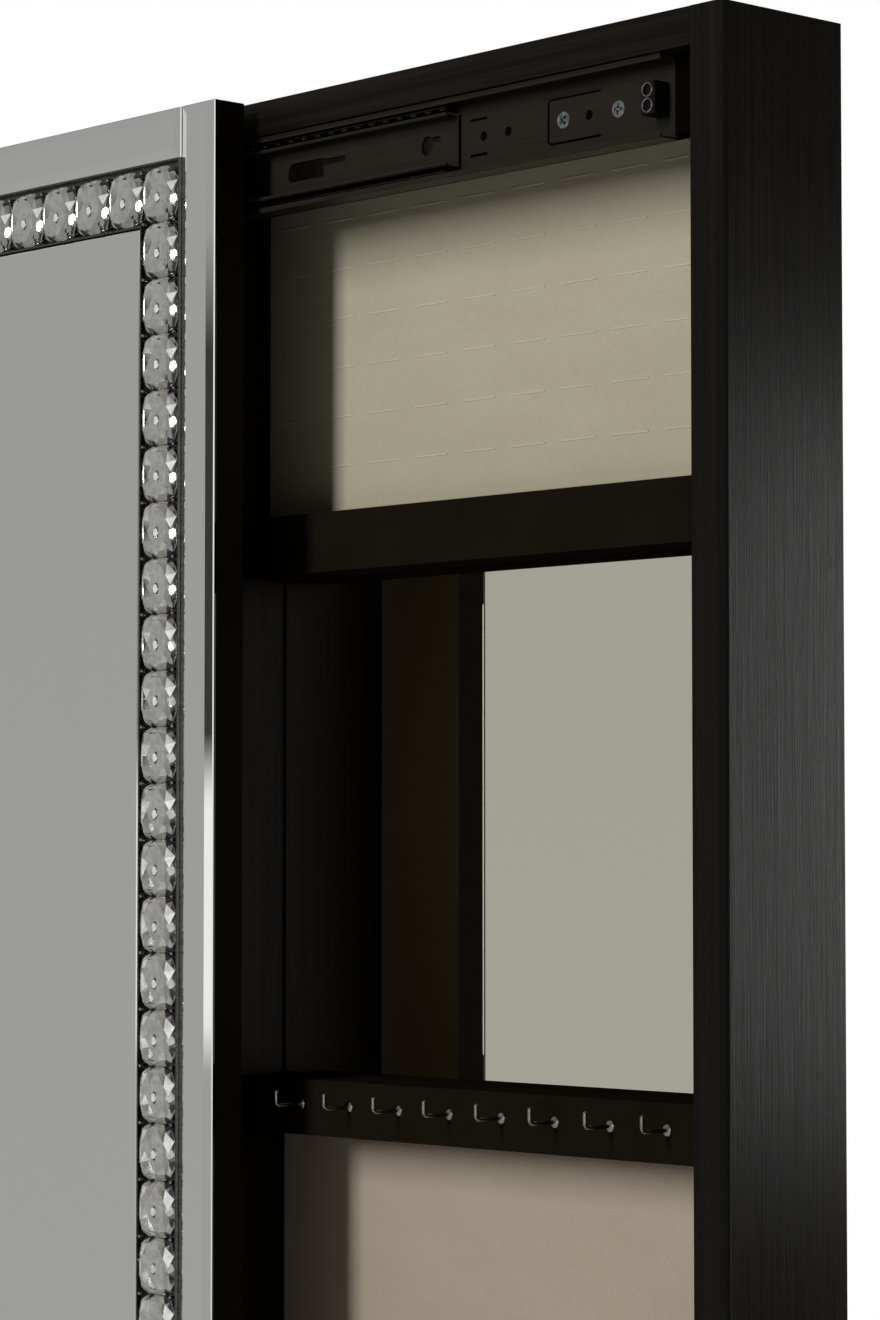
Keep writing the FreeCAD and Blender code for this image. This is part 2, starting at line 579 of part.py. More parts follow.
def balls(name, diameter, count, row, x_first, y, centre):
    """Two rows of balls, one above and one below the slide's middle."""
    made = []
    for up in (-1, 1):
        for index in range(count):
            ball = doc.addObject("Part::Sphere", "ball")
            bind(ball, Radius=f"{diameter}/2")
            place(ball, f"{x_first} + {index}*ball_pitch", y, f"{centre} + {up}*{row}")
            made.append(ball)
    return group(name, made)


def cage(name, web, rim, row, count, ball, x_first, y, centre):
    """A folded cage that keeps two rows of balls at their pitch."""
    ends = (f"({x_first} - ball_pitch/2)", f"({x_first} + ({count} - 1/2)*ball_pitch)")
    blank = channel(f"{name}_blank", ends, web, rim, f"({row} + cage_sheet/2)", centre,
                    sheet_size="cage_sheet")
    holes = [
        cylinder(f"{name}_hole", f"{ball} + 2*screw_fit",
                 (f"{x_first} + {index}*ball_pitch", y, f"{centre} - {row} - {ball}"), "Z",
                 f"2*({row} + {ball})")
        for index in range(count)
    ]
    return cut(name, blank, holes)


slide_screws, stops, door_screws = [], [], []
door_rail_holes = {"upper": [], "lower": []}
OUTER_FIRST = f"({MIDDLE_RIGHT} - cage_inset - (outer_ball_count - 1)*ball_pitch)"
INNER_FIRST = f"({RUNNER_RIGHT} - cage_inset - (inner_ball_count - 1)*ball_pitch)"
CAGE_RIM = f"({SLIDE_FRONT} + slide_sheet + running_gap)"
WEB_CUT = (f"({WEB_FRONT} - {PAST})", f"(slide_sheet + 2*{PAST})")
PRESSED = (f"({WEB_FRONT} - {PAST})", f"({WEB_FRONT} + press_depth)")
THROUGH_MIDDLE = (f"({MIDDLE_BACK} - slide_sheet - {PAST})", f"({MIDDLE_BACK} + {PAST})")


def cabinet_member(which, centre):
    """The slide member on the cabinet and its board, with the screws' holes in both."""
    board_z = {"upper": (f"{UNDER_TOP} - board_height", UNDER_TOP),
               "lower": (ABOVE_BOTTOM, LOW_BOARD_TOP)}[which]
    board = box(f"{which}_board_blank", ACROSS, (SLIDE_BACK, BOARD_BACK), board_z)
    blank = channel(f"{which}_member_blank", (SLIDE_LEFT, SLIDE_RIGHT), SLIDE_BACK, SLIDE_FRONT,
                    "(slide_height/2)", centre, lip="slide_lip")
    screw_holes, marks = [], []
    both_end = f"max({SLIDE_LEFT}; {INNER_LEFT})"
    for x in (f"({SLIDE_RIGHT} - slide_screw_first)", f"({SLIDE_RIGHT} - slide_screw_second)",
              f"({both_end} + slide_screw_last)"):
        slide_screws.append(screw(f"{which}_slide_screw", x, WEB_FRONT, centre))
        screw_holes.append(countersunk(f"{which}_screw_hole", x, WEB_FRONT, centre,
                                       f"screw_length + {PAST}", "screw_fit"))
    for mark in ("access_first", "access_second", "access_third"):
        marks.append(cylinder(f"{which}_spare_hole", "access_hole",
                              (f"{SLIDE_RIGHT} - {mark}", WEB_CUT[0], centre), "Y", WEB_CUT[1]))
    dash_x = f"({SLIDE_RIGHT} - dash_mark)"
    outline_x = (f"({SLIDE_RIGHT} - outline_left)", f"({SLIDE_RIGHT} - outline_right)")
    for side in (-1, 1):
        dash_z, line_z = f"({centre} + {side}*dash_rise)", f"({centre} + {side}*outline_rise)"
        marks.append(box(f"{which}_dash", (f"{dash_x} - dash_length/2", f"{dash_x} + dash_length/2"),
                         PRESSED, (f"{dash_z} - press_line/2", f"{dash_z} + press_line/2")))
        marks.append(box(f"{which}_pressed_line", outline_x, PRESSED,
                         (f"{line_z} - press_line/2", f"{line_z} + press_line/2")))
    marks.append(box(f"{which}_pressed_end", (outline_x[0], f"{outline_x[0]} + press_line"), PRESSED,
                     (f"{centre} - outline_rise", f"{centre} + outline_rise")))
    node(f"{which}_slide_board", cut(f"{which}_slide_board", board, screw_holes))
    node(f"{which}_cabinet_member", cut(f"{which}_cabinet_member", blank, screw_holes + marks))


def end_stop(which, centre):
    """The rubber stop at the slide's right end, with two dimples in its front."""
    left = f"({SLIDE_RIGHT} - stop_inset + stop_gap)"
    blank = box(f"{which}_stop_blank", (left, f"{left} + stop_width"), (SLIDE_FRONT, WEB_FRONT),
                (f"{centre} - stop_height/2", f"{centre} + stop_height/2"))
    dimples = [
        cylinder(f"{which}_stop_dimple", "stop_dimple",
                 (f"{left} + stop_width/2", f"{SLIDE_FRONT} - {PAST}",
                  f"{centre} + {side}*stop_dimple_rise"), "Y", f"stop_dimple_depth + {PAST}")
        for side in (-1, 1)
    ]
    return cut(f"{which}_stop", blank, dimples)


def middle_member(which, centre):
    blank = channel(f"{which}_middle_blank", (f"({MIDDLE_RIGHT} - middle_length)", MIDDLE_RIGHT),
                    MIDDLE_BACK, MIDDLE_FRONT, "(middle_height/2)", centre)
    key_x, long_x = f"({MIDDLE_RIGHT} - key_mark)", f"({MIDDLE_RIGHT} - long_hole_mark)"
    holes = [
        cylinder(f"{which}_key_hole", "key_hole", (key_x, THROUGH_MIDDLE[0], centre), "Y", WEB_CUT[1]),
        box(f"{which}_key_notch", (key_x, f"{key_x} + key_hole"), THROUGH_MIDDLE,
            (f"{centre} + key_notch_rise", f"{centre} + key_notch_rise + key_notch")),
        cylinder(f"{which}_long_hole_end", "long_hole_height",
                 (f"{long_x} + long_hole_height/2", THROUGH_MIDDLE[0], centre), "Y", WEB_CUT[1]),
        box(f"{which}_long_hole", (f"{long_x} + long_hole_height/2", f"{long_x} + long_hole_length"),
            THROUGH_MIDDLE, (f"{centre} - long_hole_height/2", f"{centre} + long_hole_height/2")),
        box(f"{which}_long_notch", (f"{long_x} + long_hole_length - {PAST}",
                                    f"{long_x} + long_hole_length + long_notch_length"),
            THROUGH_MIDDLE, (f"{centre} + key_notch_rise", f"{centre} + key_notch_rise + key_notch")),
    ]
    node(f"{which}_middle_member", cut(f"{which}_middle_member", blank, holes))


def door_member(which, centre):
    """The member on the door: its web faces the door, on a batten fixed to the door's frame."""
    x_span = (f"({RUNNER_RIGHT} - runner_length)", RUNNER_RIGHT)
    runner = channel(f"{which}_runner_blank", x_span, SLIDE_FRONT,
                     f"({INNER_CAGE_BACK} - cage_sheet - running_gap)", "(runner_height/2)", centre)
    batten = box(f"{which}_batten_blank", x_span, (DOOR_BACK, SLIDE_FRONT),
                 (f"{centre} - batten_height/2", f"{centre} + batten_height/2"))
    seat = f"({SLIDE_FRONT} + slide_sheet)"
    holes = door_rail_holes[which]
    first = f"({DOOR_RIGHT} - door_stile - door_screw_inset)"
    last = f"({DOOR_LEFT} + door_stile + door_screw_inset)"
    for index in range(SIZES["door_screw_count"]):
        x = f"({first} + {index}*({last} - {first})/(door_screw_count - 1))"
        holes.append(cylinder(f"{which}_door_screw_hole", "small_screw + 2*screw_fit",
                              (x, f"{seat} - door_screw_length - {PAST}", centre), "Y",
                              f"door_screw_length + 2*{PAST}"))
        door_screws.append(fuse(f"{which}_door_screw", [
            cylinder(f"{which}_door_screw_shank", "small_screw", (x, f"{seat} - door_screw_length", centre),
                     "Y", "door_screw_length"),
            cylinder(f"{which}_door_screw_head", "small_screw_head", (x, seat, centre), "Y",
                     "small_screw_head_height"),
        ]))
    node(f"{which}_door_member", cut(f"{which}_door_member", runner, holes))
    node(f"{which}_door_batten", cut(f"{which}_door_batten", batten, holes))


def bearing(which, label, web, row, x_first, y, centre):
    """A ball cage and its balls."""
    count, ball = SIZES[f"{label}_ball_count"], f"{label}_ball"
    name = f"{which}_{label}"
    node(f"{name}_cage", cage(f"{name}_cage", web, CAGE_RIM, row, count, ball, x_first, y, centre))
    node(f"{name}_balls", balls(f"{name}_balls", ball, count, row, x_first, y, centre))


for which, centre in SLIDES.items():
    cabinet_member(which, centre)
    stops.append(end_stop(which, centre))
    middle_member(which, centre)
    bearing(which, "outer", OUTER_CAGE_BACK, OUTER_ROW, OUTER_FIRST, BALL_PLANE, centre)
    bearing(which, "inner", INNER_CAGE_BACK, INNER_ROW, INNER_FIRST, INNER_BALL_PLANE, centre)
    door_member(which, centre)
node("slide_screws", group("slide_screws", slide_screws))
node("slide_stops", group("slide_stops", stops))
node("door_member_screws", group("door_member_screws", door_screws))

# ---------------------------------------------------------------- door
STILES = {
    "left": (DOOR_LEFT, f"({DOOR_LEFT} + door_stile)"),
    "right": (f"({DOOR_RIGHT} - door_stile)", DOOR_RIGHT),
}
for label, x in STILES.items():
    node(f"door_stile_{label}", box(f"door_stile_{label}", x, (CORE_FRONT, DOOR_BACK),
                                    (DOOR_BOTTOM, DOOR_TOP)))
BETWEEN_STILES = (STILES["left"][1], STILES["right"][0])
CROSS_RAILS = {
    "top": (f"({DOOR_TOP} - door_stile)", DOOR_TOP),
    "bottom": (DOOR_BOTTOM, f"({DOOR_BOTTOM} + door_stile)"),
}
for label, which in (("top", "upper"), ("bottom", "lower")):
    rail = box(f"door_rail_{label}_blank", BETWEEN_STILES, (CORE_FRONT, DOOR_BACK), CROSS_RAILS[label])
    node(f"door_rail_{label}", cut(f"door_rail_{label}", rail, door_rail_holes[which]))
node("door_panel", box("door_panel", BETWEEN_STILES, (CORE_FRONT, f"{CORE_FRONT} + door_panel_thickness"),
                       (CROSS_RAILS["bottom"][1], CROSS_RAILS["top"][0])))

UPRIGHT_STRIPS = {
    "left": (DOOR_LEFT, f"({DOOR_LEFT} + strip_width)"),
    "right": (f"({DOOR_RIGHT} - strip_width)", DOOR_RIGHT),
}
for label, x in UPRIGHT_STRIPS.items():
    node(f"mirror_strip_{label}", mirror_glass(f"mirror_strip_{label}", x, (DOOR_BOTTOM, DOOR_TOP),
                                               DOOR_FRONT, "bevel_width", "bevel_drop", CORE_FRONT))
CROSS_X = (f"({UPRIGHT_STRIPS['left'][1]} + strip_joint)", f"({UPRIGHT_STRIPS['right'][0]} - strip_joint)")
for label, z in (("top", (f"({DOOR_TOP} - strip_width)", DOOR_TOP)),
                 ("bottom", (DOOR_BOTTOM, f"({DOOR_BOTTOM} + strip_width)"))):
    node(f"mirror_strip_{label}", mirror_glass(f"mirror_strip_{label}", CROSS_X, z, DOOR_FRONT,
                                               "bevel_width", "bevel_drop", CORE_FRONT))
CHANNEL_WIDTH = "(2*(crystal_margin - strip_width))"
CENTRE_X = (f"({UPRIGHT_STRIPS['left'][1]} + {CHANNEL_WIDTH})",
            f"({UPRIGHT_STRIPS['right'][0]} - {CHANNEL_WIDTH})")
CENTRE_Z = (f"({DOOR_BOTTOM} + strip_width + {CHANNEL_WIDTH})",
            f"({DOOR_TOP} - strip_width - {CHANNEL_WIDTH})")
node("centre_mirror", mirror_glass("centre_mirror", CENTRE_X, CENTRE_Z, DOOR_FRONT, "mirror_chamfer",
                                   "mirror_chamfer", CORE_FRONT))


def inset(spans, distance):
    """The X and Z spans of a rectangle, drawn in by a distance."""
    return [(f"({low} + {distance})", f"({high} - {distance})") for low, high in spans]


# Crystal channel: a folded frame with a rim along each mirror
CHANNEL_OUTER = [(UPRIGHT_STRIPS["left"][1], UPRIGHT_STRIPS["right"][0]),
                 (f"({DOOR_BOTTOM} + strip_width)", f"({DOOR_TOP} - strip_width)")]
CHANNEL_INNER = [CENTRE_X, CENTRE_Z]
rim_inside = inset(CHANNEL_OUTER, "channel_rim")
hollow_outside = inset(CHANNEL_INNER, "(-channel_rim)")
channel_y = (f"({CORE_FRONT} - channel_depth)", CORE_FRONT)
trough_y = (f"({channel_y[0]} - {PAST})", f"({CORE_FRONT} - channel_floor)")
window_y = (f"({channel_y[0]} - 2*{PAST})", f"({CORE_FRONT} + {PAST})")
channel_blank = box("channel_blank", CHANNEL_OUTER[0], channel_y, CHANNEL_OUTER[1])
window = box("channel_window", CHANNEL_INNER[0], window_y, CHANNEL_INNER[1])
trough = cut("channel_trough", box("channel_hollow", rim_inside[0], trough_y, rim_inside[1]),
             [box("channel_hollow_core", hollow_outside[0], window_y, hollow_outside[1])])
node("crystal_channel", cut("crystal_channel", channel_blank, [window, trough]))


def cushion(half, y):
    """A square outline with its corners cut, at one level of a crystal."""
    clipped = half * (1 - number("crystal_corner"))
    turns = [(half, clipped), (clipped, half), (-clipped, half), (-half, clipped),
             (-half, -clipped), (-clipped, -half), (clipped, -half), (half, -clipped)]
    return Part.makePolygon([FreeCAD.Vector(x, y, z) for x, z in turns + turns[:1]])


def crystal_shape():
    """A cushion-cut stone: a low girdle wall and eight facets up to a flat table."""
    girdle, table = number("crystal_width") / 2, number("crystal_table") / 2
    wall_top, top = -number("crystal_girdle"), -number("crystal_height")
    shoulder = (girdle + table) / 2
    shoulder_top = wall_top - number("crystal_shoulder_rise")
    layers = [(girdle, 0), (girdle, wall_top), (shoulder, shoulder_top), (table, top)]
    return Part.makeLoft([cushion(half, y) for half, y in layers], True, True)


STONE = crystal_shape()
SEAT = number(CORE_FRONT) - number("channel_floor")


def crystals(name, places):
    made = doc.addObject("Part::Feature", name)
    stones = []
    for x, z in places:
        stone = STONE.copy()
        stone.translate(FreeCAD.Vector(x, SEAT, z))
        stones.append(stone)
    made.Shape = Part.makeCompound(stones)
    return node(name, made)


pitch = number("crystal_pitch")
first_x = number(DOOR_LEFT) + number("crystal_margin")
first_z = number(DOOR_BOTTOM) + number("crystal_margin")
row_x = [first_x + index * pitch for index in range(SIZES["crystals_across"])]
column_z = [first_z + index * pitch for index in range(SIZES["crystals_down"])]
crystals("crystals_top", [(x, column_z[-1]) for x in row_x])
crystals("crystals_bottom", [(x, column_z[0]) for x in row_x])
crystals("crystals_left", [(row_x[0], z) for z in column_z[1:-1]])
crystals("crystals_right", [(row_x[-1], z) for z in column_z[1:-1]])

# ---------------------------------------------------------------- checks and export
doc.recompute()
for obj in doc.Objects:
    if "Invalid" in obj.State or "Error" in obj.State:
        raise RuntimeError(f"{obj.Label} did not build: {obj.State}")
for name, obj in nodes.items():
    if obj.Shape.isNull() or not obj.Shape.isValid():
        raise RuntimeError(f"{name} has no sound shape")
for name, obj in nodes.items():
    obj.Shape.exportStep(f"parts/{name}.step")
print(f"{len(nodes)} sub-parts, the door {number(DOOR_WIDTH):.1f} mm wide")
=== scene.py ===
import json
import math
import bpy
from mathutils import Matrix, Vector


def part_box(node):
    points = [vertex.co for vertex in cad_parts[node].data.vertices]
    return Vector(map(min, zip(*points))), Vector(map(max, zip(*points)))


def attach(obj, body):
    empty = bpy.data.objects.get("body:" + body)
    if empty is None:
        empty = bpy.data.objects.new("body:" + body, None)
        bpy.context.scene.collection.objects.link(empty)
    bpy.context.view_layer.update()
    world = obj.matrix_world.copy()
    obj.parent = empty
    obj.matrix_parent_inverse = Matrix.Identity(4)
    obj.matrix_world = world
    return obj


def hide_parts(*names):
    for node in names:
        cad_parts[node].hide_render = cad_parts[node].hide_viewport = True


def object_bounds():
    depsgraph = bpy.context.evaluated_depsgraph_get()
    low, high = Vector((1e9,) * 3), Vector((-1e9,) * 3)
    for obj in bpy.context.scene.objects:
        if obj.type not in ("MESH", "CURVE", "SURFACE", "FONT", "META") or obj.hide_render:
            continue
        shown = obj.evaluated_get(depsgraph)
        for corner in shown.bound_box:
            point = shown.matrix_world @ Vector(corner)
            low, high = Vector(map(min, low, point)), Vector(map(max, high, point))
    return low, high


bl_info = {
    "name": "Jewelry Mirror Cabinet",
    "version": (1, 0, 0),
    "blender": (4, 5, 0),
    "location": "View3D > Sidebar > Cabinet",
    "description": "Dresses a wall-hung jewelry cabinet with a sliding mirror door",
    "category": "Object",
}

import bmesh
import bpy
from bpy.props import FloatProperty, FloatVectorProperty, IntProperty, PointerProperty
from mathutils import Euler, Vector

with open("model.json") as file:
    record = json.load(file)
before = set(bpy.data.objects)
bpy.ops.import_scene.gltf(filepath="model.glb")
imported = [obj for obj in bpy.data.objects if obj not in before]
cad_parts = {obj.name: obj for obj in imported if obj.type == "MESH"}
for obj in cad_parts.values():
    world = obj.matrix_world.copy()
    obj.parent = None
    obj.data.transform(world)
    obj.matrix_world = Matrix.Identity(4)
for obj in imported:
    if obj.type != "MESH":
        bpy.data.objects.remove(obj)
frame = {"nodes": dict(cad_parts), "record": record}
CAD_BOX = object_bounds()
MM = 0.001
MERGE = 0.00001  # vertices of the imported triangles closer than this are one

# Lengths are in metres, and shares are of the size that they multiply
GRAIN_WIDTH = 0.0011  # a pore streak, drawn a little coarse so that it shows
GRAIN_LENGTH = 0.11
GRAIN_BAND = 7.0  # growth rings are this many streaks wide

# How far a face's normal lies along an axis, from 0 to 1, for the face to count as
REAR_FACING = 0.7  # the rear of a board
GLASS_FACING = 0.3  # a face of a mirror, not its ground side wall
END_FACING = 0.5  # a sheared end or a hole's wall of a slide member

LIP_SPREAD = 1.2  # spacing of a slit's two lips, in their radii
LIP_PROUD = 0.2  # share of its radius by which a lip's axis stands proud of the panel
PAD_TURN = 0.0012  # the covering rolls back over the earring panel's edge within this
PAD_FULLNESS = 0.6  # exponent of the padding's swell: less is flatter on top
PAD_ACROSS, PAD_UPWARD = 40, 96  # squares of the padding's front
HOOK_ROOT = 0.004  # how far a hook's wire goes into the rail

ROLL_SINK = 0.4  # share of its radius by which a rolled edge lies behind the member's face
CLIP_SEAT = 0.3  # share of its radius by which a clip's wire lies outside the eye
CLIP_AROUND, CLIP_ACROSS = 28, 8  # corners round an eye and round the wire
STOP_SHORTEST = 0.005  # edges of an end stop longer than this are eased
SCREW_SIDES = 48
SCREW_RINGS = (0.06, 0.14, 0.22, 0.3, 0.4, 0.5, 0.6, 0.68, 0.78, 0.88, 0.96, 1)  # shares of the head's radius
SCREW_TIP = ((0.9, 0.8), (0.15, 1))  # shares of the shank's radius and of the screw's length
SCREW_TURN = (0.4, 1.15)  # radians: the first screw's turn, and how much more each next one has
CROSS_REACH = 0.64  # share of the head's radius that the cross recess reaches

FACETS = 8  # main facets round a stone
CUSHION = 4.0  # exponent of a stone's outline: 2 is round, and more is squarer
HUB_RADIUS, HUB_CUSHION, HUB_TALL, HUB_DEPTH = 0.0016, 2.5, 1.6, 0.0013  # a stone's culet facet
DENT_RADIUS, DENT_CUSHION, DENT_TALL = 0.0026, 2.0, 1.5  # the hollow round the culet facet
HUB_TILT = 0.45  # the culet facet is tilted, so that it flashes
HUB_SHIFT = (-0.0022, 0, -0.0016)  # and cut a little off the middle
BACK_SHARE, BACK_LIFT = 0.93, 0.0003  # a stone's back edge, narrower than its girdle and off its seat
BREAK_SHARES = (0.42, 0.58)  # the break facets meet between girdle and table, by these shares of each
BREAK_CUSHION, BREAK_BULGE, BREAK_RISE = 3.0, 1.03, 0.62
FLASH_POKE = 0.00025  # a coated crown facet is domed by this
CLAW_SIDES = 10
CLAW_INSET = 0.9  # share of its diameter by which a claw stands in from the stones' edges
CLAW_TIP = ((1, 0.0012), (0.85, 0.0018), (0.4, 0.0022))  # share of its radius, height over the girdle

CAMERA_LENS = 106.146  # millimetres, on a 36 mm sensor
CAMERA_PLACE = (1.6139, -1.5429, -0.3841)
CAMERA_YAW = 47.775  # degrees to the left of +Y
CAMERA_PITCH = 2.88
KEY_PLACE, KEY_SIZE = (0.0, -4.3, 2.25), (0.7, 3.2)  # from the middle of the CAD box; width and height
SIDE_PLACE, SIDE_SIZE = (0.70, 0.50, 0.235), (0.05, 0.48)
FILL_TINT = (1, 0.93, 0.8)  # the even light is a little warm

# The studio that mirrors and metal see: its tones from below to above, then its cards, each with a
# direction in degrees from +X, where it starts and is full, and its tones by height
STUDIO_TONES = ((0.0, "#9a9a9a"), (0.45, "#f0f0f0"), (0.62, "#ffffff"), (0.88, "#c8c8c8"), (1.0, "#6a6a6a"))
CARD_REACH = 0.5
CARDS = (
    (222, 30, 20, ((-0.34, "#4a4a4a"), (-0.22, "#adadad"), (0.06, "#aaaaaa"), (0.35, "#a6a6a6"))),
    (42, 60, 40, ((-0.2, "#868686"), (0.2, "#868686"))),
    (35, 9, 5, ((-0.2, "#262626"), (0.2, "#262626"))),
    (190, 13, 7, ((-0.10, "#8c8c8c"), (0.04, "#9c9c9c"), (0.12, "#c4c4c4"), (0.20, "#d6d6d6"))),
    (254, 12, 7, ((-0.055, "#a8a8a8"), (-0.042, "#ffffff"), (0.014, "#ffffff"), (0.03, "#3c3c3c"),
                  (0.13, "#3c3c3c"), (0.16, "#a6a6a6"))),
)


# ---------------------------------------------------------------- small helpers
def linear(code):
    """An sRGB hex colour as linear RGBA."""
    parts = [int(code[i:i + 2], 16) / 255 for i in (1, 3, 5)]
    return (*[c / 12.92 if c <= 0.04045 else ((c + 0.055) / 1.055) ** 2.4 for c in parts], 1.0)


def add(tree, kind, inputs=None, **settings):
    """Adds a node. Each input is linked when it is given a socket, and set when it is given a value."""
    made = tree.nodes.new(kind)
    for name, value in settings.items():
        setattr(made, name, value)
    for key, value in (inputs or {}).items():
        if isinstance(value, bpy.types.NodeSocket):
            tree.links.new(value, made.inputs[key])
        else:
            made.inputs[key].default_value = value
    return made


def new_material(name):
    """An empty material, its tree, its shader and its Object coordinates."""
    made = bpy.data.materials.new(name)
    made.use_nodes = True
    tree = made.node_tree
    tree.nodes.clear()
    shader = add(tree, "ShaderNodeBsdfPrincipled")
    add(tree, "ShaderNodeOutputMaterial", {"Surface": shader.outputs["BSDF"]})
    place = add(tree, "ShaderNodeTexCoord").outputs["Object"]
    return made, tree, shader, place


def ramp(tree, value, stops):
    """A colour ramp between sRGB hex stops."""
    made = add(tree, "ShaderNodeValToRGB", {"Fac": value})
    band = made.color_ramp
    while len(band.elements) < len(stops):
        band.elements.new(0.5)
    for element, (position, code) in zip(band.elements, stops):
        element.position, element.color = position, linear(code)
    return made.outputs["Color"]


def bump(tree, shader, height, distance, strength=1.0):
    """A relief of the given height in metres."""
    made = add(tree, "ShaderNodeBump", {"Height": height, "Distance": distance, "Strength": strength})
    tree.links.new(made.outputs["Normal"], shader.inputs["Normal"])


def noise(tree, place, cell, detail=3.0, roughness=0.6):
    """Noise whose grains are as long as cell says, in metres, along each axis."""
    scaled = add(tree, "ShaderNodeMapping", {"Vector": place, "Scale": [1 / c for c in cell]})
    made = add(tree, "ShaderNodeTexNoise", {"Vector": scaled.outputs["Vector"], "Scale": 1.0,
                                            "Detail": detail, "Roughness": roughness})
    return made.outputs["Fac"]


# ---------------------------------------------------------------- finishes
def stained_ash(name, along, dark, light, specular=0.12):
    """Black-stained open-pore ash veneer, brushed along its grain and lacquered satin.

    The brushing leaves fine long streaks, and the lacquer gives a soft reflection broken along them."""
    made, tree, shader, place = new_material(name)
    streak = [GRAIN_WIDTH] * 3
    streak["XYZ".index(along)] = GRAIN_LENGTH
    fine = noise(tree, place, streak, detail=4.0, roughness=0.7)
    band = noise(tree, place, [s * GRAIN_BAND for s in streak], detail=2.0)
    both = add(tree, "ShaderNodeMath", {0: fine, 1: band}, operation="MULTIPLY")
    tree.links.new(ramp(tree, both.outputs[0], [(0.16, dark), (0.42, light)]), shader.inputs["Base Color"])
    rough = add(tree, "ShaderNodeMapRange", {"Value": fine, "From Min": 0.3, "From Max": 0.7,
                                             "To Min": 0.3, "To Max": 0.48})
    tree.links.new(rough.outputs["Result"], shader.inputs["Roughness"])
    shader.inputs["Specular IOR Level"].default_value = specular
    bump(tree, shader, fine, 0.00022)
    return made


def melamine(name, colour, roughness=0.5, specular=0.04, back=None):
    """Black melamine-faced board: an even film with a fine orange-peel texture.

    Its rear face can have a colour of its own; the door's frame uses it for a lighter tone of painted light."""
    made, tree, shader, place = new_material(name)
    speck = noise(tree, place, (0.0009, 0.0009, 0.0009), detail=2.0)
    soft = noise(tree, place, (0.05, 0.05, 0.05), detail=2.0)
    mixed = add(tree, "ShaderNodeMix", {"Factor": soft, "A": linear(colour[0]), "B": linear(colour[1])},
                data_type="RGBA")
    film = mixed.outputs["Result"]
    if back:
        normal = add(tree, "ShaderNodeTexCoord").outputs["Normal"]
        turned = add(tree, "ShaderNodeSeparateXYZ", {"Vector": normal})
        rear = add(tree, "ShaderNodeMath", {0: turned.outputs["Y"], 1: REAR_FACING}, operation="GREATER_THAN")
        film = add(tree, "ShaderNodeMix", {"Factor": rear.outputs[0], "A": film, "B": linear(back)},
                   data_type="RGBA").outputs["Result"]
    tree.links.new(film, shader.inputs["Base Color"])
    shader.inputs["Roughness"].default_value = roughness
    shader.inputs["Specular IOR Level"].default_value = specular
    bump(tree, shader, speck, 0.00004)
    return made


def silvered_glass(name, face, edge):
    """Silvered float glass. Its faces mirror with a faint tint; its ground side walls are dark."""
    made, tree, shader, place = new_material(name)
    normal = add(tree, "ShaderNodeTexCoord").outputs["Normal"]
    turned = add(tree, "ShaderNodeSeparateXYZ", {"Vector": normal})
    facing = add(tree, "ShaderNodeMath", {0: turned.outputs["Y"]}, operation="ABSOLUTE")
    wall = add(tree, "ShaderNodeMath", {0: facing.outputs[0], 1: GLASS_FACING}, operation="GREATER_THAN")
    mixed = add(tree, "ShaderNodeMix", {"Factor": wall.outputs[0], "A": linear(edge), "B": linear(face)},
                data_type="RGBA")
    tree.links.new(mixed.outputs["Result"], shader.inputs["Base Color"])
    haze = noise(tree, place, (0.12, 0.12, 0.12), detail=2.0)
    rough = add(tree, "ShaderNodeMapRange", {"Value": haze, "To Min": 0.0, "To Max": 0.03})
    tree.links.new(rough.outputs["Result"], shader.inputs["Roughness"])
    shader.inputs["Metallic"].default_value = 1.0
    return made


def lead_crystal(name):
    """Pressed and polished lead crystal: clear, bright at its facet edges, with a faint grey body."""
    made, tree, shader, place = new_material(name)
    cloud = noise(tree, place, (0.02, 0.02, 0.02), detail=1.0)
    tree.links.new(ramp(tree, cloud, [(0.3, "#f4f4f1"), (0.7, "#fbfbf9")]), shader.inputs["Base Color"])
    shader.inputs["Roughness"].default_value = 0.0
    shader.inputs["IOR"].default_value = 1.58
    shader.inputs["Transmission Weight"].default_value = 1.0
    return made


def foil(name):
    """The silver foil burnt onto a stone's back facets, which throws the light out again."""
    made, tree, shader, place = new_material(name)
    crinkle = noise(tree, place, (0.004, 0.004, 0.004), detail=2.0)
    tree.links.new(ramp(tree, crinkle, [(0.35, "#d2d2ce"), (0.65, "#ecece9")]), shader.inputs["Base Color"])
    shader.inputs["Metallic"].default_value = 1.0
    shader.inputs["Roughness"].default_value = 0.03
    return made


def metal(name, colours, roughness, scratch=0.003, relief=0.00002):
    """A plated or polished metal with slight uneven lustre."""
    made, tree, shader, place = new_material(name)
    mottle = noise(tree, place, (scratch, scratch, scratch), detail=3.0)
    tree.links.new(ramp(tree, mottle, [(0.3, colours[0]), (0.7, colours[1])]), shader.inputs["Base Color"])
    rough = add(tree, "ShaderNodeMapRange", {"Value": mottle, "To Min": roughness[0], "To Max": roughness[1]})
    tree.links.new(rough.outputs["Result"], shader.inputs["Roughness"])
    shader.inputs["Metallic"].default_value = 1.0
    bump(tree, shader, mottle, relief)
    return made


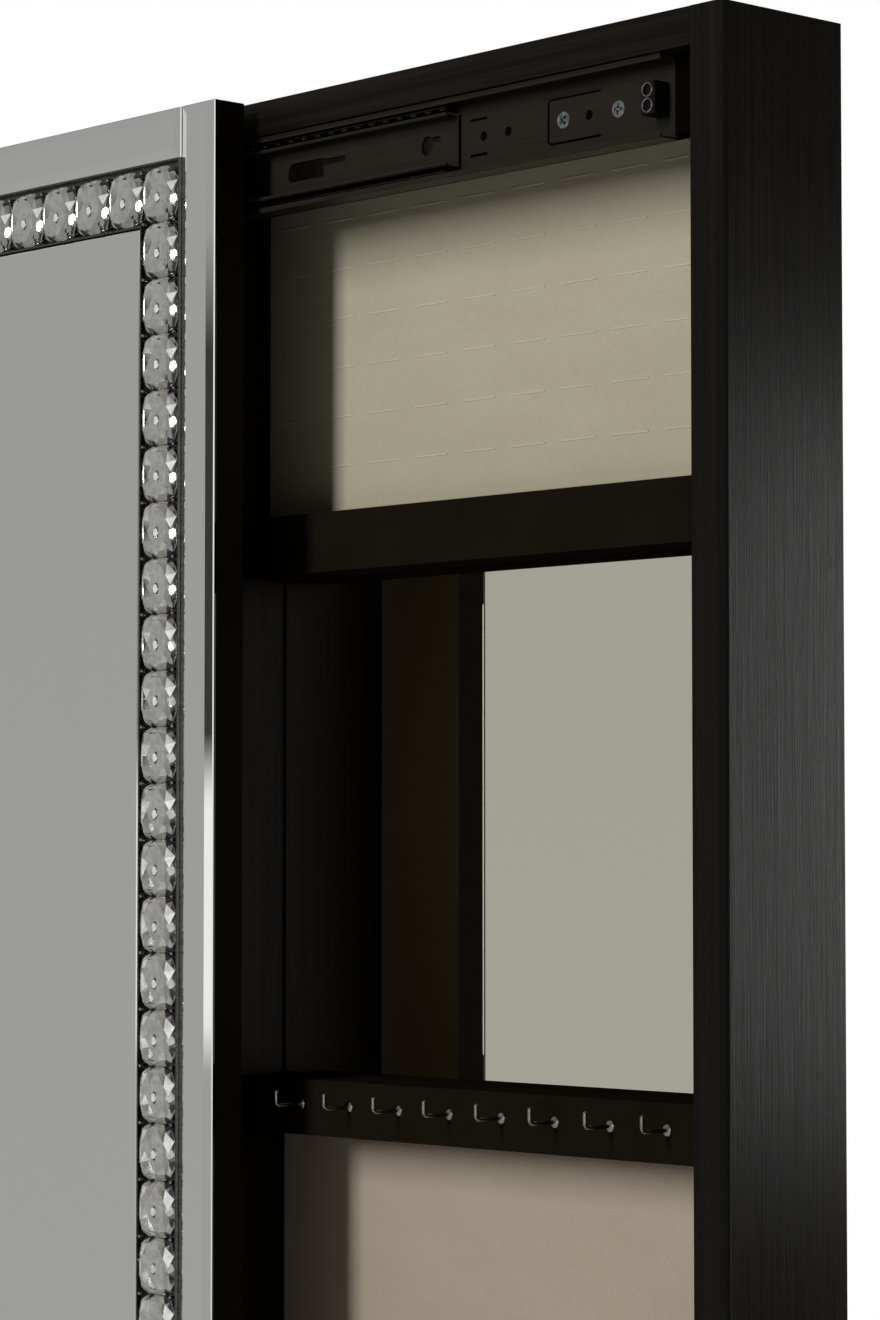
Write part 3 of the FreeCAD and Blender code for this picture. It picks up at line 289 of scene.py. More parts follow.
def electrocoat(name):
    """Black-brown electrophoretic coat on cold-rolled steel: thin, matt, drawn along the rolled length.

    The sheared ends and the walls of punched holes are bare steel, which shows as bright rims."""
    made, tree, shader, place = new_material(name)
    drawn = noise(tree, place, (0.03, 0.0006, 0.0006), detail=3.0)
    coat = ramp(tree, drawn, [(0.3, "#1b1814"), (0.75, "#25211b")])
    turned = add(tree, "ShaderNodeSeparateXYZ", {"Vector": add(tree, "ShaderNodeTexCoord").outputs["Normal"]})
    across = add(tree, "ShaderNodeMath", {0: turned.outputs["X"]}, operation="ABSOLUTE").outputs[0]
    bare = add(tree, "ShaderNodeMath", {0: across, 1: END_FACING}, operation="GREATER_THAN").outputs[0]
    mixed = add(tree, "ShaderNodeMix", {"Factor": bare, "A": coat, "B": linear("#b4b4b2")},
                data_type="RGBA")
    tree.links.new(mixed.outputs["Result"], shader.inputs["Base Color"])
    tree.links.new(bare, shader.inputs["Metallic"])
    rough = add(tree, "ShaderNodeMapRange", {"Value": drawn, "To Min": 0.3, "To Max": 0.5})
    tree.links.new(rough.outputs["Result"], shader.inputs["Roughness"])
    shader.inputs["Specular IOR Level"].default_value = 0.06
    bump(tree, shader, drawn, 0.00002)
    return made


def faux_suede(name, dark, light, thread=0.0011):
    """Brushed faux suede glued over a board: matt, with a fine plain weave and a soft nap."""
    made, tree, shader, place = new_material(name)
    parts = add(tree, "ShaderNodeSeparateXYZ", {"Vector": place})
    waves = []
    for axis in ("X", "Z"):
        phase = add(tree, "ShaderNodeMath", {0: parts.outputs[axis], 1: 2 * math.pi / thread},
                    operation="MULTIPLY")
        waves.append(add(tree, "ShaderNodeMath", {0: phase.outputs[0]}, operation="SINE").outputs[0])
    weave = add(tree, "ShaderNodeMath", {0: waves[0], 1: waves[1]}, operation="MULTIPLY").outputs[0]
    nap = noise(tree, place, (0.0016, 0.0016, 0.0007), detail=4.0)
    brushed = noise(tree, place, (0.09, 0.09, 0.03), detail=3.0)
    tone = add(tree, "ShaderNodeMath", {0: brushed, 1: 0.22, 2: 0.36}, operation="MULTIPLY_ADD").outputs[0]
    shade = add(tree, "ShaderNodeMath", {0: nap, 1: 0.35, 2: tone}, operation="MULTIPLY_ADD").outputs[0]
    tree.links.new(ramp(tree, shade, [(0.45, dark), (0.85, light)]), shader.inputs["Base Color"])
    height = add(tree, "ShaderNodeMath", {0: weave, 1: 0.35, 2: nap}, operation="MULTIPLY_ADD").outputs[0]
    shader.inputs["Roughness"].default_value = 0.95
    shader.inputs["Specular IOR Level"].default_value = 0.15
    shader.inputs["Sheen Weight"].default_value = 0.15
    shader.inputs["Sheen Roughness"].default_value = 0.5
    bump(tree, shader, height, 0.00012)
    return made


def moulded_rubber(name):
    """Moulded black rubber: matt, with the mould's fine blast texture."""
    made, tree, shader, place = new_material(name)
    grit = noise(tree, place, (0.0005, 0.0005, 0.0005))
    tree.links.new(ramp(tree, grit, [(0.3, "#080807"), (0.7, "#11100f")]), shader.inputs["Base Color"])
    shader.inputs["Roughness"].default_value = 0.6
    shader.inputs["Specular IOR Level"].default_value = 0.1
    bump(tree, shader, grit, 0.00004)
    return made


def planed_pine(name):
    """Planed pine, unfinished: pale, with soft growth rings along the board."""
    made, tree, shader, place = new_material(name)
    rings = noise(tree, place, (0.2, 0.004, 0.006), detail=3.0)
    tree.links.new(ramp(tree, rings, [(0.35, "#b98f5f"), (0.65, "#d9b98c")]), shader.inputs["Base Color"])
    shader.inputs["Roughness"].default_value = 0.7
    bump(tree, shader, rings, 0.00008)
    return made


# ---------------------------------------------------------------- pieces
BODY_OF = {n: b for b, members in frame["record"]["behaviour"]["bodies"].items() for n in members}


def finish_node(name, *materials):
    """Gives a CAD node that keeps its shape its material."""
    slots = frame["nodes"][name].data.materials
    slots.clear()
    for made in materials:
        slots.append(made)


def settle(piece, *nodes):
    """Lets a finished piece stand for CAD nodes, on their body."""
    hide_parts(*nodes)
    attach(piece, BODY_OF[nodes[0]])
    return piece


def new_piece(name, mesh, *materials):
    piece = bpy.data.objects.new(name, mesh)
    bpy.context.scene.collection.objects.link(piece)
    for made in materials:
        mesh.materials.append(made)
    return piece


def mesh_from(name, work, sharp=None):
    """A bmesh's mesh. Given a sharp angle in degrees, it is smooth but for the edges past that angle."""
    mesh = bpy.data.meshes.new(name)
    work.to_mesh(mesh)
    work.free()
    if sharp:
        mesh.shade_smooth()
        mesh.set_sharp_from_angle(angle=math.radians(sharp))
    return mesh


def solids(node):
    """The boxes of the separate solids of a CAD node, from left to right."""
    work = bmesh.new()
    work.from_mesh(frame["nodes"][node].data)
    bmesh.ops.remove_doubles(work, verts=work.verts, dist=MERGE)
    left = set(work.verts)
    boxes = []
    while left:
        reached, edge = set(), [left.pop()]
        while edge:
            vert = edge.pop()
            reached.add(vert)
            for link in vert.link_edges:
                other = link.other_vert(vert)
                if other in left:
                    left.discard(other)
                    edge.append(other)
        points = [frame["nodes"][node].matrix_world @ vert.co for vert in reached]
        boxes.append((Vector([min(p[i] for p in points) for i in range(3)]),
                      Vector([max(p[i] for p in points) for i in range(3)])))
    work.free()
    return sorted(boxes, key=lambda box: (box[0].x, box[0].z))


def eased_board(node, ease, finish, steps=2, shortest=0.015):
    """A board with its CAD form, and its edges longer than the shortest sanded round."""
    work = bmesh.new()
    work.from_mesh(frame["nodes"][node].data)
    bmesh.ops.remove_doubles(work, verts=work.verts, dist=MERGE)
    bmesh.ops.dissolve_limit(work, angle_limit=math.radians(0.5), verts=work.verts, edges=work.edges)
    sharp = [e for e in work.edges if len(e.link_faces) == 2 and e.calc_length() > shortest
             and e.calc_face_angle() > math.radians(40)]
    bmesh.ops.bevel(work, geom=sharp, offset=ease, segments=steps, profile=0.5, affect="EDGES",
                    clamp_overlap=True)
    bmesh.ops.triangulate(work, faces=[f for f in work.faces if len(f.verts) > 4])
    return settle(new_piece(f"{node}_board", mesh_from(f"{node}_board", work), finish), node)


def realised(name, tree, values):
    """The plain mesh that a node tree makes from its named inputs."""
    host = new_piece(f"{name}_host", bpy.data.meshes.new(f"{name}_host"))
    modifier = host.modifiers.new(name, "NODES")
    modifier.node_group = tree
    for item in tree.interface.items_tree:
        if item.item_type == "SOCKET" and item.in_out == "INPUT" and item.name in values:
            modifier[item.identifier] = values[item.name]
    bpy.context.view_layer.update()
    shape = host.evaluated_get(bpy.context.evaluated_depsgraph_get())
    mesh = bpy.data.meshes.new_from_object(shape)
    bpy.data.objects.remove(host)
    return mesh


def joined(name, meshes):
    """One piece from several meshes that share their materials."""
    work = bmesh.new()
    for mesh in meshes:
        work.from_mesh(mesh)
    return new_piece(name, mesh_from(name, work), *meshes[0].materials)


def new_tree(name, inputs):
    """A geometry tree with named inputs; gives the tree and its group input node."""
    tree = bpy.data.node_groups.new(name, "GeometryNodeTree")
    for label, (kind, default) in inputs.items():
        socket = tree.interface.new_socket(label, in_out="INPUT", socket_type=kind)
        if default is not None:
            socket.default_value = default
    tree.interface.new_socket("Geometry", in_out="OUTPUT", socket_type="NodeSocketGeometry")
    return tree, add(tree, "NodeGroupInput")


def end_tree(tree, geometry, coats):
    """Realize Instances, then one Set Material for each coat, then the group's output."""
    whole = add(tree, "GeometryNodeRealizeInstances", {"Geometry": geometry}).outputs[0]
    for coat in coats:
        whole = add(tree, "GeometryNodeSetMaterial", {"Geometry": whole, **coat}).outputs[0]
    add(tree, "NodeGroupOutput", {"Geometry": whole})


def run_tree():
    """Sets one piece at each point of a straight run."""
    tree, given = new_tree("run_of_pieces", {
        "Start": ("NodeSocketVector", None), "Step": ("NodeSocketVector", None),
        "Count": ("NodeSocketInt", 1), "Piece": ("NodeSocketObject", None),
        "Finish": ("NodeSocketMaterial", None), "Back Finish": ("NodeSocketMaterial", None),
    })
    line = add(tree, "GeometryNodeMeshLine", {"Count": given.outputs["Count"],
                                              "Start Location": given.outputs["Start"],
                                              "Offset": given.outputs["Step"]})
    piece = add(tree, "GeometryNodeObjectInfo", {"Object": given.outputs["Piece"]})
    placed = add(tree, "GeometryNodeInstanceOnPoints", {"Points": line.outputs["Mesh"],
                                                        "Instance": piece.outputs["Geometry"]})
    coated = add(tree, "GeometryNodeInputNamedAttribute", {"Name": "coated"}, data_type="BOOLEAN")
    end_tree(tree, placed.outputs["Instances"], [
        {"Material": given.outputs["Finish"]},
        {"Material": given.outputs["Back Finish"], "Selection": coated.outputs["Attribute"]},
    ])
    return tree


def bent_path(tree, corners, bend):
    """A path through the given corners, with its bends rounded."""
    path = add(tree, "GeometryNodeMeshLine", {"Count": len(corners)}).outputs["Mesh"]
    index = add(tree, "GeometryNodeInputIndex").outputs[0]
    for number, corner in enumerate(corners):
        here = add(tree, "FunctionNodeCompare", {2: index, 3: number}, data_type="INT", operation="EQUAL")
        path = add(tree, "GeometryNodeSetPosition", {"Geometry": path, "Selection": here.outputs[0],
                                                     "Position": corner}).outputs[0]
    path = add(tree, "GeometryNodeMeshToCurve", {"Mesh": path}).outputs[0]
    return add(tree, "GeometryNodeFilletCurve", {"Curve": path, "Radius": bend, "Count": 8},
               mode="POLY").outputs[0]


def hook_tree():
    """A row of wire hooks: shank, bend and upturned tip swept along a path, with a domed collar."""
    lengths = ("Reach", "Rise", "Bend", "Wire", "Collar", "Collar Depth", "Root", "Pitch")
    tree, given = new_tree("wire_hooks", {
        **{label: ("NodeSocketFloat", 0.01) for label in lengths},
        "Count": ("NodeSocketInt", 8), "Start": ("NodeSocketVector", None),
        "Finish": ("NodeSocketMaterial", None),
    })
    out = given.outputs
    reach = add(tree, "ShaderNodeMath", {0: out["Reach"], 1: -1.0}, operation="MULTIPLY").outputs[0]
    root = add(tree, "ShaderNodeCombineXYZ", {"Y": out["Root"]}).outputs[0]
    corner = add(tree, "ShaderNodeCombineXYZ", {"Y": reach}).outputs[0]
    tip = add(tree, "ShaderNodeCombineXYZ", {"Y": reach, "Z": out["Rise"]}).outputs[0]
    bent = bent_path(tree, (root, corner, tip), out["Bend"])
    half = add(tree, "ShaderNodeMath", {0: out["Wire"], 1: 0.5}, operation="MULTIPLY").outputs[0]
    ring = add(tree, "GeometryNodeCurvePrimitiveCircle", {"Resolution": 14, "Radius": half}).outputs[0]
    wire = add(tree, "GeometryNodeCurveToMesh", {"Curve": bent, "Profile Curve": ring,
                                                 "Fill Caps": True}).outputs[0]
    knob = add(tree, "GeometryNodeMeshUVSphere", {"Segments": 14, "Rings": 8, "Radius": half}).outputs[0]
    knob = add(tree, "GeometryNodeTransform", {"Geometry": knob, "Translation": tip}).outputs[0]
    flange = add(tree, "ShaderNodeMath", {0: out["Collar"], 1: 0.5}, operation="MULTIPLY").outputs[0]
    flat = add(tree, "ShaderNodeMath", {0: out["Collar Depth"], 1: flange}, operation="DIVIDE").outputs[0]
    flat = add(tree, "ShaderNodeCombineXYZ", {"X": 1.0, "Y": flat, "Z": 1.0}).outputs[0]
    collar = add(tree, "GeometryNodeMeshUVSphere", {"Segments": 20, "Rings": 10, "Radius": flange}).outputs[0]
    collar = add(tree, "GeometryNodeTransform", {"Geometry": collar, "Scale": flat}).outputs[0]
    hook = add(tree, "GeometryNodeJoinGeometry")
    for part in (wire, knob, collar):
        tree.links.new(part, hook.inputs[0])
    step = add(tree, "ShaderNodeCombineXYZ", {"X": out["Pitch"]}).outputs[0]
    row = add(tree, "GeometryNodeMeshLine", {"Count": out["Count"], "Start Location": out["Start"],
                                             "Offset": step}).outputs[0]
    placed = add(tree, "GeometryNodeInstanceOnPoints", {"Points": row, "Instance": hook.outputs[0]})
    smooth = add(tree, "GeometryNodeSetShadeSmooth", {"Geometry": placed.outputs[0]})
    end_tree(tree, smooth.outputs[0], [{"Material": out["Finish"]}])
    return tree


def bead_tree(count):
    """A round bead swept along a path through the given number of corners."""
    tree, given = new_tree(f"bead_of_{count}_corners", {
        **{f"Corner {k}": ("NodeSocketVector", None) for k in range(count)},
        "Bend": ("NodeSocketFloat", 0.0), "Roll": ("NodeSocketFloat", 0.001),
        "Finish": ("NodeSocketMaterial", None),
    })
    out = given.outputs
    path = bent_path(tree, [out[f"Corner {k}"] for k in range(count)], out["Bend"])
    ring = add(tree, "GeometryNodeCurvePrimitiveCircle", {"Resolution": 12, "Radius": out["Roll"]})
    bead = add(tree, "GeometryNodeCurveToMesh", {"Curve": path, "Profile Curve": ring.outputs[0],
                                                 "Fill Caps": True})
    smooth = add(tree, "GeometryNodeSetShadeSmooth", {"Geometry": bead.outputs[0]})
    end_tree(tree, smooth.outputs[0], [{"Material": out["Finish"]}])
    return tree


def slit_tree():
    """Rows of slits: two rolled fabric lips that meet along each slit's middle."""
    lengths = ("Length", "Roll", "Pitch", "Row Pitch")
    tree, given = new_tree("slit_lips", {
        **{label: ("NodeSocketFloat", 0.01) for label in lengths},
        "Across": ("NodeSocketInt", 10), "Rows": ("NodeSocketInt", 6),
        "Centre": ("NodeSocketVector", None), "Finish": ("NodeSocketMaterial", None),
    })
    out = given.outputs
    lips = add(tree, "GeometryNodeJoinGeometry")
    for side in (-0.5, 0.5):
        start = add(tree, "ShaderNodeMath", {0: out["Length"], 1: -0.5}, operation="MULTIPLY").outputs[0]
        end = add(tree, "ShaderNodeMath", {0: out["Length"], 1: 0.5}, operation="MULTIPLY").outputs[0]
        level = add(tree, "ShaderNodeMath", {0: out["Roll"], 1: side * LIP_SPREAD},
                    operation="MULTIPLY").outputs[0]
        line = add(tree, "GeometryNodeCurvePrimitiveLine", {
            "Start": add(tree, "ShaderNodeCombineXYZ", {"X": start, "Z": level}).outputs[0],
            "End": add(tree, "ShaderNodeCombineXYZ", {"X": end, "Z": level}).outputs[0]}).outputs[0]
        ring = add(tree, "GeometryNodeCurvePrimitiveCircle", {"Resolution": 10, "Radius": out["Roll"]})
        roll = add(tree, "GeometryNodeCurveToMesh", {"Curve": line, "Profile Curve": ring.outputs[0],
                                                     "Fill Caps": True}).outputs[0]
        tree.links.new(roll, lips.inputs[0])
    wide = [add(tree, "ShaderNodeMath", {0: out[count], 1: -1.0}, operation="ADD").outputs[0]
            for count in ("Across", "Rows")]
    spans = [add(tree, "ShaderNodeMath", {0: n, 1: out[p]}, operation="MULTIPLY").outputs[0]
             for n, p in zip(wide, ("Pitch", "Row Pitch"))]
    grid = add(tree, "GeometryNodeMeshGrid", {"Size X": spans[0], "Size Y": spans[1],
                                              "Vertices X": out["Across"], "Vertices Y": out["Rows"]})
    stood = add(tree, "GeometryNodeTransform", {"Geometry": grid.outputs[0], "Translation": out["Centre"],
                                                "Rotation": (math.pi / 2, 0, 0)})
    placed = add(tree, "GeometryNodeInstanceOnPoints", {"Points": stood.outputs[0],
                                                        "Instance": lips.outputs[0]})
    smooth = add(tree, "GeometryNodeSetShadeSmooth", {"Geometry": placed.outputs[0]})
    end_tree(tree, smooth.outputs[0], [{"Material": out["Finish"]}])
    return tree


# ---------------------------------------------------------------- sizes and colours a user may change
def length(name, description, default):
    """A length in metres, given in millimetres."""
    return FloatProperty(name=name, description=description, default=default * MM, unit="LENGTH",
                         precision=5)


class CarcassSettings(bpy.types.PropertyGroup):
    edge_ease: length("Edge easing", "Radius of the sanded edges of the carcass boards", 0.4)
    door_ease: length("Door easing", "Radius of the sanded edges of the door's frame", 0.5)


class LiningSettings(bpy.types.PropertyGroup):
    slit_length: length("Slit length", "Length of a slit for earrings", 28)
    slit_pitch: length("Slit pitch", "Spacing of the slits in a row", 41)
    slit_rows: IntProperty(name="Slit rows", description="Rows of slits", default=6, min=1)
    slits_across: IntProperty(name="Slits across", description="Slits in a row", default=10, min=1)
    row_pitch: length("Row pitch", "Spacing of the rows of slits", 29.6)
    first_row: length("First row", "From the cabinet's top down to the first row", 63.4)
    lip_roll: length("Lip", "Radius of the fabric rolled round a slit's edge", 0.35)
    crown: length("Crown", "How far the padding stands proud between two rows", 0.2)


class MirrorSettings(bpy.types.PropertyGroup):
    arris: length("Arris", "Width of the polished arris on a mirror's front edges", 0.5)


class HookSettings(bpy.types.PropertyGroup):
    count: IntProperty(name="Hooks", description="Hooks along the rail", default=8, min=1)
    pitch: length("Pitch", "Spacing of the hooks", 43.2)
    wire: length("Wire", "Diameter of the wire", 2.4)
    bend: length("Bend", "Radius of the wire's bend", 2.6)
    collar: length("Collar", "Diameter of the collar", 7)
    collar_depth: length("Collar thickness", "Thickness of the collar", 1.4)


class SlideSettings(bpy.types.PropertyGroup):
    lip_roll: length("Lip roll", "Radius of the rolled lips of the cabinet member", 0.7)
    race_roll: length("Race roll", "Radius of the rolled edges of the middle member", 1.1)
    stop_ease: length("Stop easing", "Radius of an end stop's moulded edges", 0.8)
    eye: length("Eye", "Diameter of an end stop's eyes", 6.8)
    eye_rise: length("Eye rise", "From an end stop's middle to an eye", 4.2)
    eye_lip: length("Eye lip", "Radius of the wire clip round an eye", 0.6)
    # The pressed lines are drawn as near-black beads of painted shade; these two set their half width and how
    # far they stand proud.
    mark_roll: length("Mark", "Half the width of a pressed line", 0.8)
    mark_proud: length("Mark proud", "How far a pressed line's burr stands proud", 0.15)
    outline_right: length("Outline right", "From the member's right end to the outline's open end", 56)
    outline_left: length("Outline left", "From the member's right end to the outline's closed end", 96.8)
    outline_rise: length("Outline rise", "From the member's middle to the outline's lines", 12)
    outline_bend: length("Outline bend", "Radius of the outline's corners", 2.5)
    dash: length("Dashes", "From the member's right end to the middle of the dashes", 153)
    dash_length: length("Dash length", "Length of a pressed dash", 14)
    dash_rise: length("Dash rise", "From the member's middle to a dash", 10)
    screw_shank: length("Screw shank", "Diameter of a slide screw's shank", 4.2)
    screw_cone: length("Screw cone", "Height of a slide screw's countersunk cone", 2.4)
    screw_crown: length("Screw crown", "How far a slide screw's head rises in its middle", 0.55)
    cross_width: length("Cross width", "Width of the arms of a screw's cross recess", 1.3)
    cross_depth: length("Cross depth", "Depth of a screw's cross recess", 1.9)


class CrystalSettings(bpy.types.PropertyGroup):
    pitch: length("Pitch", "Spacing of the stones", 33.3)
    width: length("Width", "Width of a stone at its girdle", 33.1)
    table: length("Table", "Width of a stone's flat table", 21)
    table_height: length("Table height", "Height of a stone's flat table", 26.6)
    lean_out: length("Lean out", "How far the upright runs are set towards the door's edges", 0.1)
    lean_in: length("Lean in", "How far the level runs are set towards the centre mirror", 0.9)
    girdle: length("Girdle", "Height of the girdle above the stone's seat", 3.1)
    height: length("Height", "Height of a stone above its seat", 6.6)
    claw: length("Claw", "Diameter of the claws between the stones", 2.2)


class StageSettings(bpy.types.PropertyGroup):
    floor_gap: length("Floor gap", "From the cabinet's underside down to the floor", 350)
    floor_radius: length("Floor radius", "Radius of the pale floor", 4500)
    floor_colour: FloatVectorProperty(name="Floor colour", description="Colour of the floor",
                                      subtype="COLOR", size=4, default=linear("#e9e8e5"))
    key_power: FloatProperty(name="Key power", description="Power of the main soft light, in watts",
                             default=230.0)
    side_power: FloatProperty(name="Side power", default=2.5,
                              description="Power of the strip light beside the cabinet, in watts")
    fill: FloatProperty(name="Fill", description="Level of the even light from all sides", default=0.08)


GROUPS = {"cabinet_carcass": CarcassSettings, "cabinet_lining": LiningSettings,
          "cabinet_mirrors": MirrorSettings, "cabinet_hooks": HookSettings,
          "cabinet_slides": SlideSettings, "cabinet_crystals": CrystalSettings,
          "cabinet_stage": StageSettings}


# ---------------------------------------------------------------- operators
class CABINET_OT_carcass(bpy.types.Operator):
    """Dresses the carcass boards, rails and shelves"""
    bl_idname = "cabinet.carcass"
    bl_label = "Carcass"

    def execute(self, context):
        ease = context.scene.cabinet_carcass.edge_ease
        upright = stained_ash("stained_ash_upright", "Z", "#060402", "#120e0a")
        level = stained_ash("stained_ash_level", "X", "#0b0906", "#1c1712", 0.06)
        board = melamine("black_melamine", ("#120f0a", "#19150f"), 0.5, 0.0)
        for node in ("side_right", "side_left"):
            eased_board(node, ease, upright)
        for node in ("top_panel", "bottom_panel"):
            eased_board(node, ease, level)
        for node in ("upper_rail", "hook_rail", "upper_shelf", "lower_shelf", "floor_board",
                     "shelf_ledges"):
            eased_board(node, ease, board)
        # The slide boards get a darker copy of the black melamine that reflects nothing: painted shade, so
        # that they and the holes in front of them read as deep shadow.
        painted_shade_board = melamine("slide_board_painted_shade", ("#050403", "#090706"), 0.7, 0.0)
        for node in ("upper_slide_board", "lower_slide_board"):
            eased_board(node, ease, painted_shade_board)
        finish_node("back_panel", melamine("black_hardboard", ("#16130f", "#231f1a"), 0.6))
        pine = planed_pine("planed_pine")
        for node in ("hanging_rail", "spacer_rail", "earring_battens"):
            finish_node(node, pine)
        zinc = metal("bright_zinc", ("#8e9091", "#b9babb"), (0.2, 0.32))
        for node in ("hanger_plates", "hanger_screws", "door_member_screws"):
            finish_node(node, zinc)
        return {"FINISHED"}


class CABINET_OT_linings(bpy.types.Operator):
    """Covers the earring panel, the necklace panel and the shelf linings with faux suede"""
    bl_idname = "cabinet.linings"
    bl_label = "Linings"

    def execute(self, context):
        given = context.scene.cabinet_lining
        cream = faux_suede("cream_faux_suede", "#98927c", "#aaa592")
        # The slit lips get a lighter cream than the panel: painted highlight for the light that the folded
        # fabric catches.
        lips = faux_suede("cream_slit_lips_painted_highlight", "#a7a18c", "#b7b29d")
        beige = faux_suede("beige_faux_suede", "#958878", "#a99d8d")
        ease = context.scene.cabinet_carcass.edge_ease
        eased_board("necklace_panel", ease, beige)
        eased_board("shelf_linings", ease, beige)
        self.earring_panel(given, cream)
        low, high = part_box("earring_panel")
        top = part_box("top_panel")[1].z
        middle = top - given.first_row - given.row_pitch * (given.slit_rows - 1) / 2
        mesh = realised("slit_lips", slit_tree(), {
            "Length": given.slit_length, "Roll": given.lip_roll, "Pitch": given.slit_pitch,
            "Row Pitch": given.row_pitch, "Across": given.slits_across, "Rows": given.slit_rows,
            "Centre": ((low.x + high.x) / 2, low.y - given.lip_roll * LIP_PROUD, middle), "Finish": lips})
        piece = new_piece("slit_lips", mesh)
        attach(piece, "cabinet")
        return {"FINISHED"}

    def earring_panel(self, given, cream):
        """A padded board: its front swells a little between the rows of slits."""
        low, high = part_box("earring_panel")
        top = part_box("top_panel")[1].z
        work = bmesh.new()
        rows = []
        for j in range(PAD_UPWARD + 1):
            z = low.z + (high.z - low.z) * j / PAD_UPWARD
            phase = (top - given.first_row - z) / given.row_pitch
            row = []
            for i in range(PAD_ACROSS + 1):
                x = low.x + (high.x - low.x) * i / PAD_ACROSS
                edge = min(x - low.x, high.x - x, z - low.z, high.z - z)
                swell = abs(math.sin(math.pi * phase)) ** PAD_FULLNESS * given.crown
                fall = 0.0 if edge >= PAD_TURN else PAD_TURN - edge
                row.append(work.verts.new((x, low.y - swell + fall, z)))
            rows.append(row)
        for below, above in zip(rows, rows[1:]):
            for i in range(PAD_ACROSS):
                work.faces.new((below[i], below[i + 1], above[i + 1], above[i]))
        rim = [e for e in work.edges if len(e.link_faces) == 1]
        drawn = bmesh.ops.extrude_edge_only(work, edges=rim)["geom"]
        for vert in [g for g in drawn if isinstance(g, bmesh.types.BMVert)]:
            vert.co.y = high.y
        back = [e for e in work.edges if len(e.link_faces) == 1]
        bmesh.ops.holes_fill(work, edges=back)
        bmesh.ops.recalc_face_normals(work, faces=work.faces)
        settle(new_piece("earring_pad", mesh_from("earring_pad", work, 50), cream), "earring_panel")


class CABINET_OT_mirrors(bpy.types.Operator):
    """Silvers the vanity mirror and the door's mirrors"""
    bl_idname = "cabinet.mirrors"
    bl_label = "Mirrors"

    def execute(self, context):
        arris = context.scene.cabinet_mirrors.arris
        outer = silvered_glass("silvered_float_glass", "#e9e9e7", "#3a3d3b")
        vanity = silvered_glass("silvered_vanity_glass", "#f4f1de", "#3a3b36")
        for node in ("centre_mirror", "mirror_strip_left", "mirror_strip_right", "mirror_strip_top",
                     "mirror_strip_bottom"):
            eased_board(node, arris, outer, steps=1)
        finish_node("vanity_mirror", vanity)
        return {"FINISHED"}


class CABINET_OT_hooks(bpy.types.Operator):
    """Sweeps the necklace hooks along their rail"""
    bl_idname = "cabinet.hooks"
    bl_label = "Hooks"

    def execute(self, context):
        given = context.scene.cabinet_hooks
        low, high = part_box("necklace_hooks")
        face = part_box("hook_rail")[0].y
        wire = metal("nickel_wire", ("#7d7972", "#a09c94"), (0.16, 0.3))
        shank = low.z + given.collar / 2
        mesh = realised("wire_hooks", hook_tree(), {
            "Reach": face - low.y - given.wire / 2, "Rise": high.z - shank - given.wire / 2,
            "Bend": given.bend, "Wire": given.wire, "Collar": given.collar,
            "Collar Depth": given.collar_depth, "Root": HOOK_ROOT, "Pitch": given.pitch,
            "Count": given.count, "Finish": wire,
            "Start": ((low.x + high.x) / 2 - given.pitch * (given.count - 1) / 2, face, shank)})
        mesh.set_sharp_from_angle(angle=math.radians(40))
        settle(new_piece("wire_hooks", mesh), "necklace_hooks")
        return {"FINISHED"}


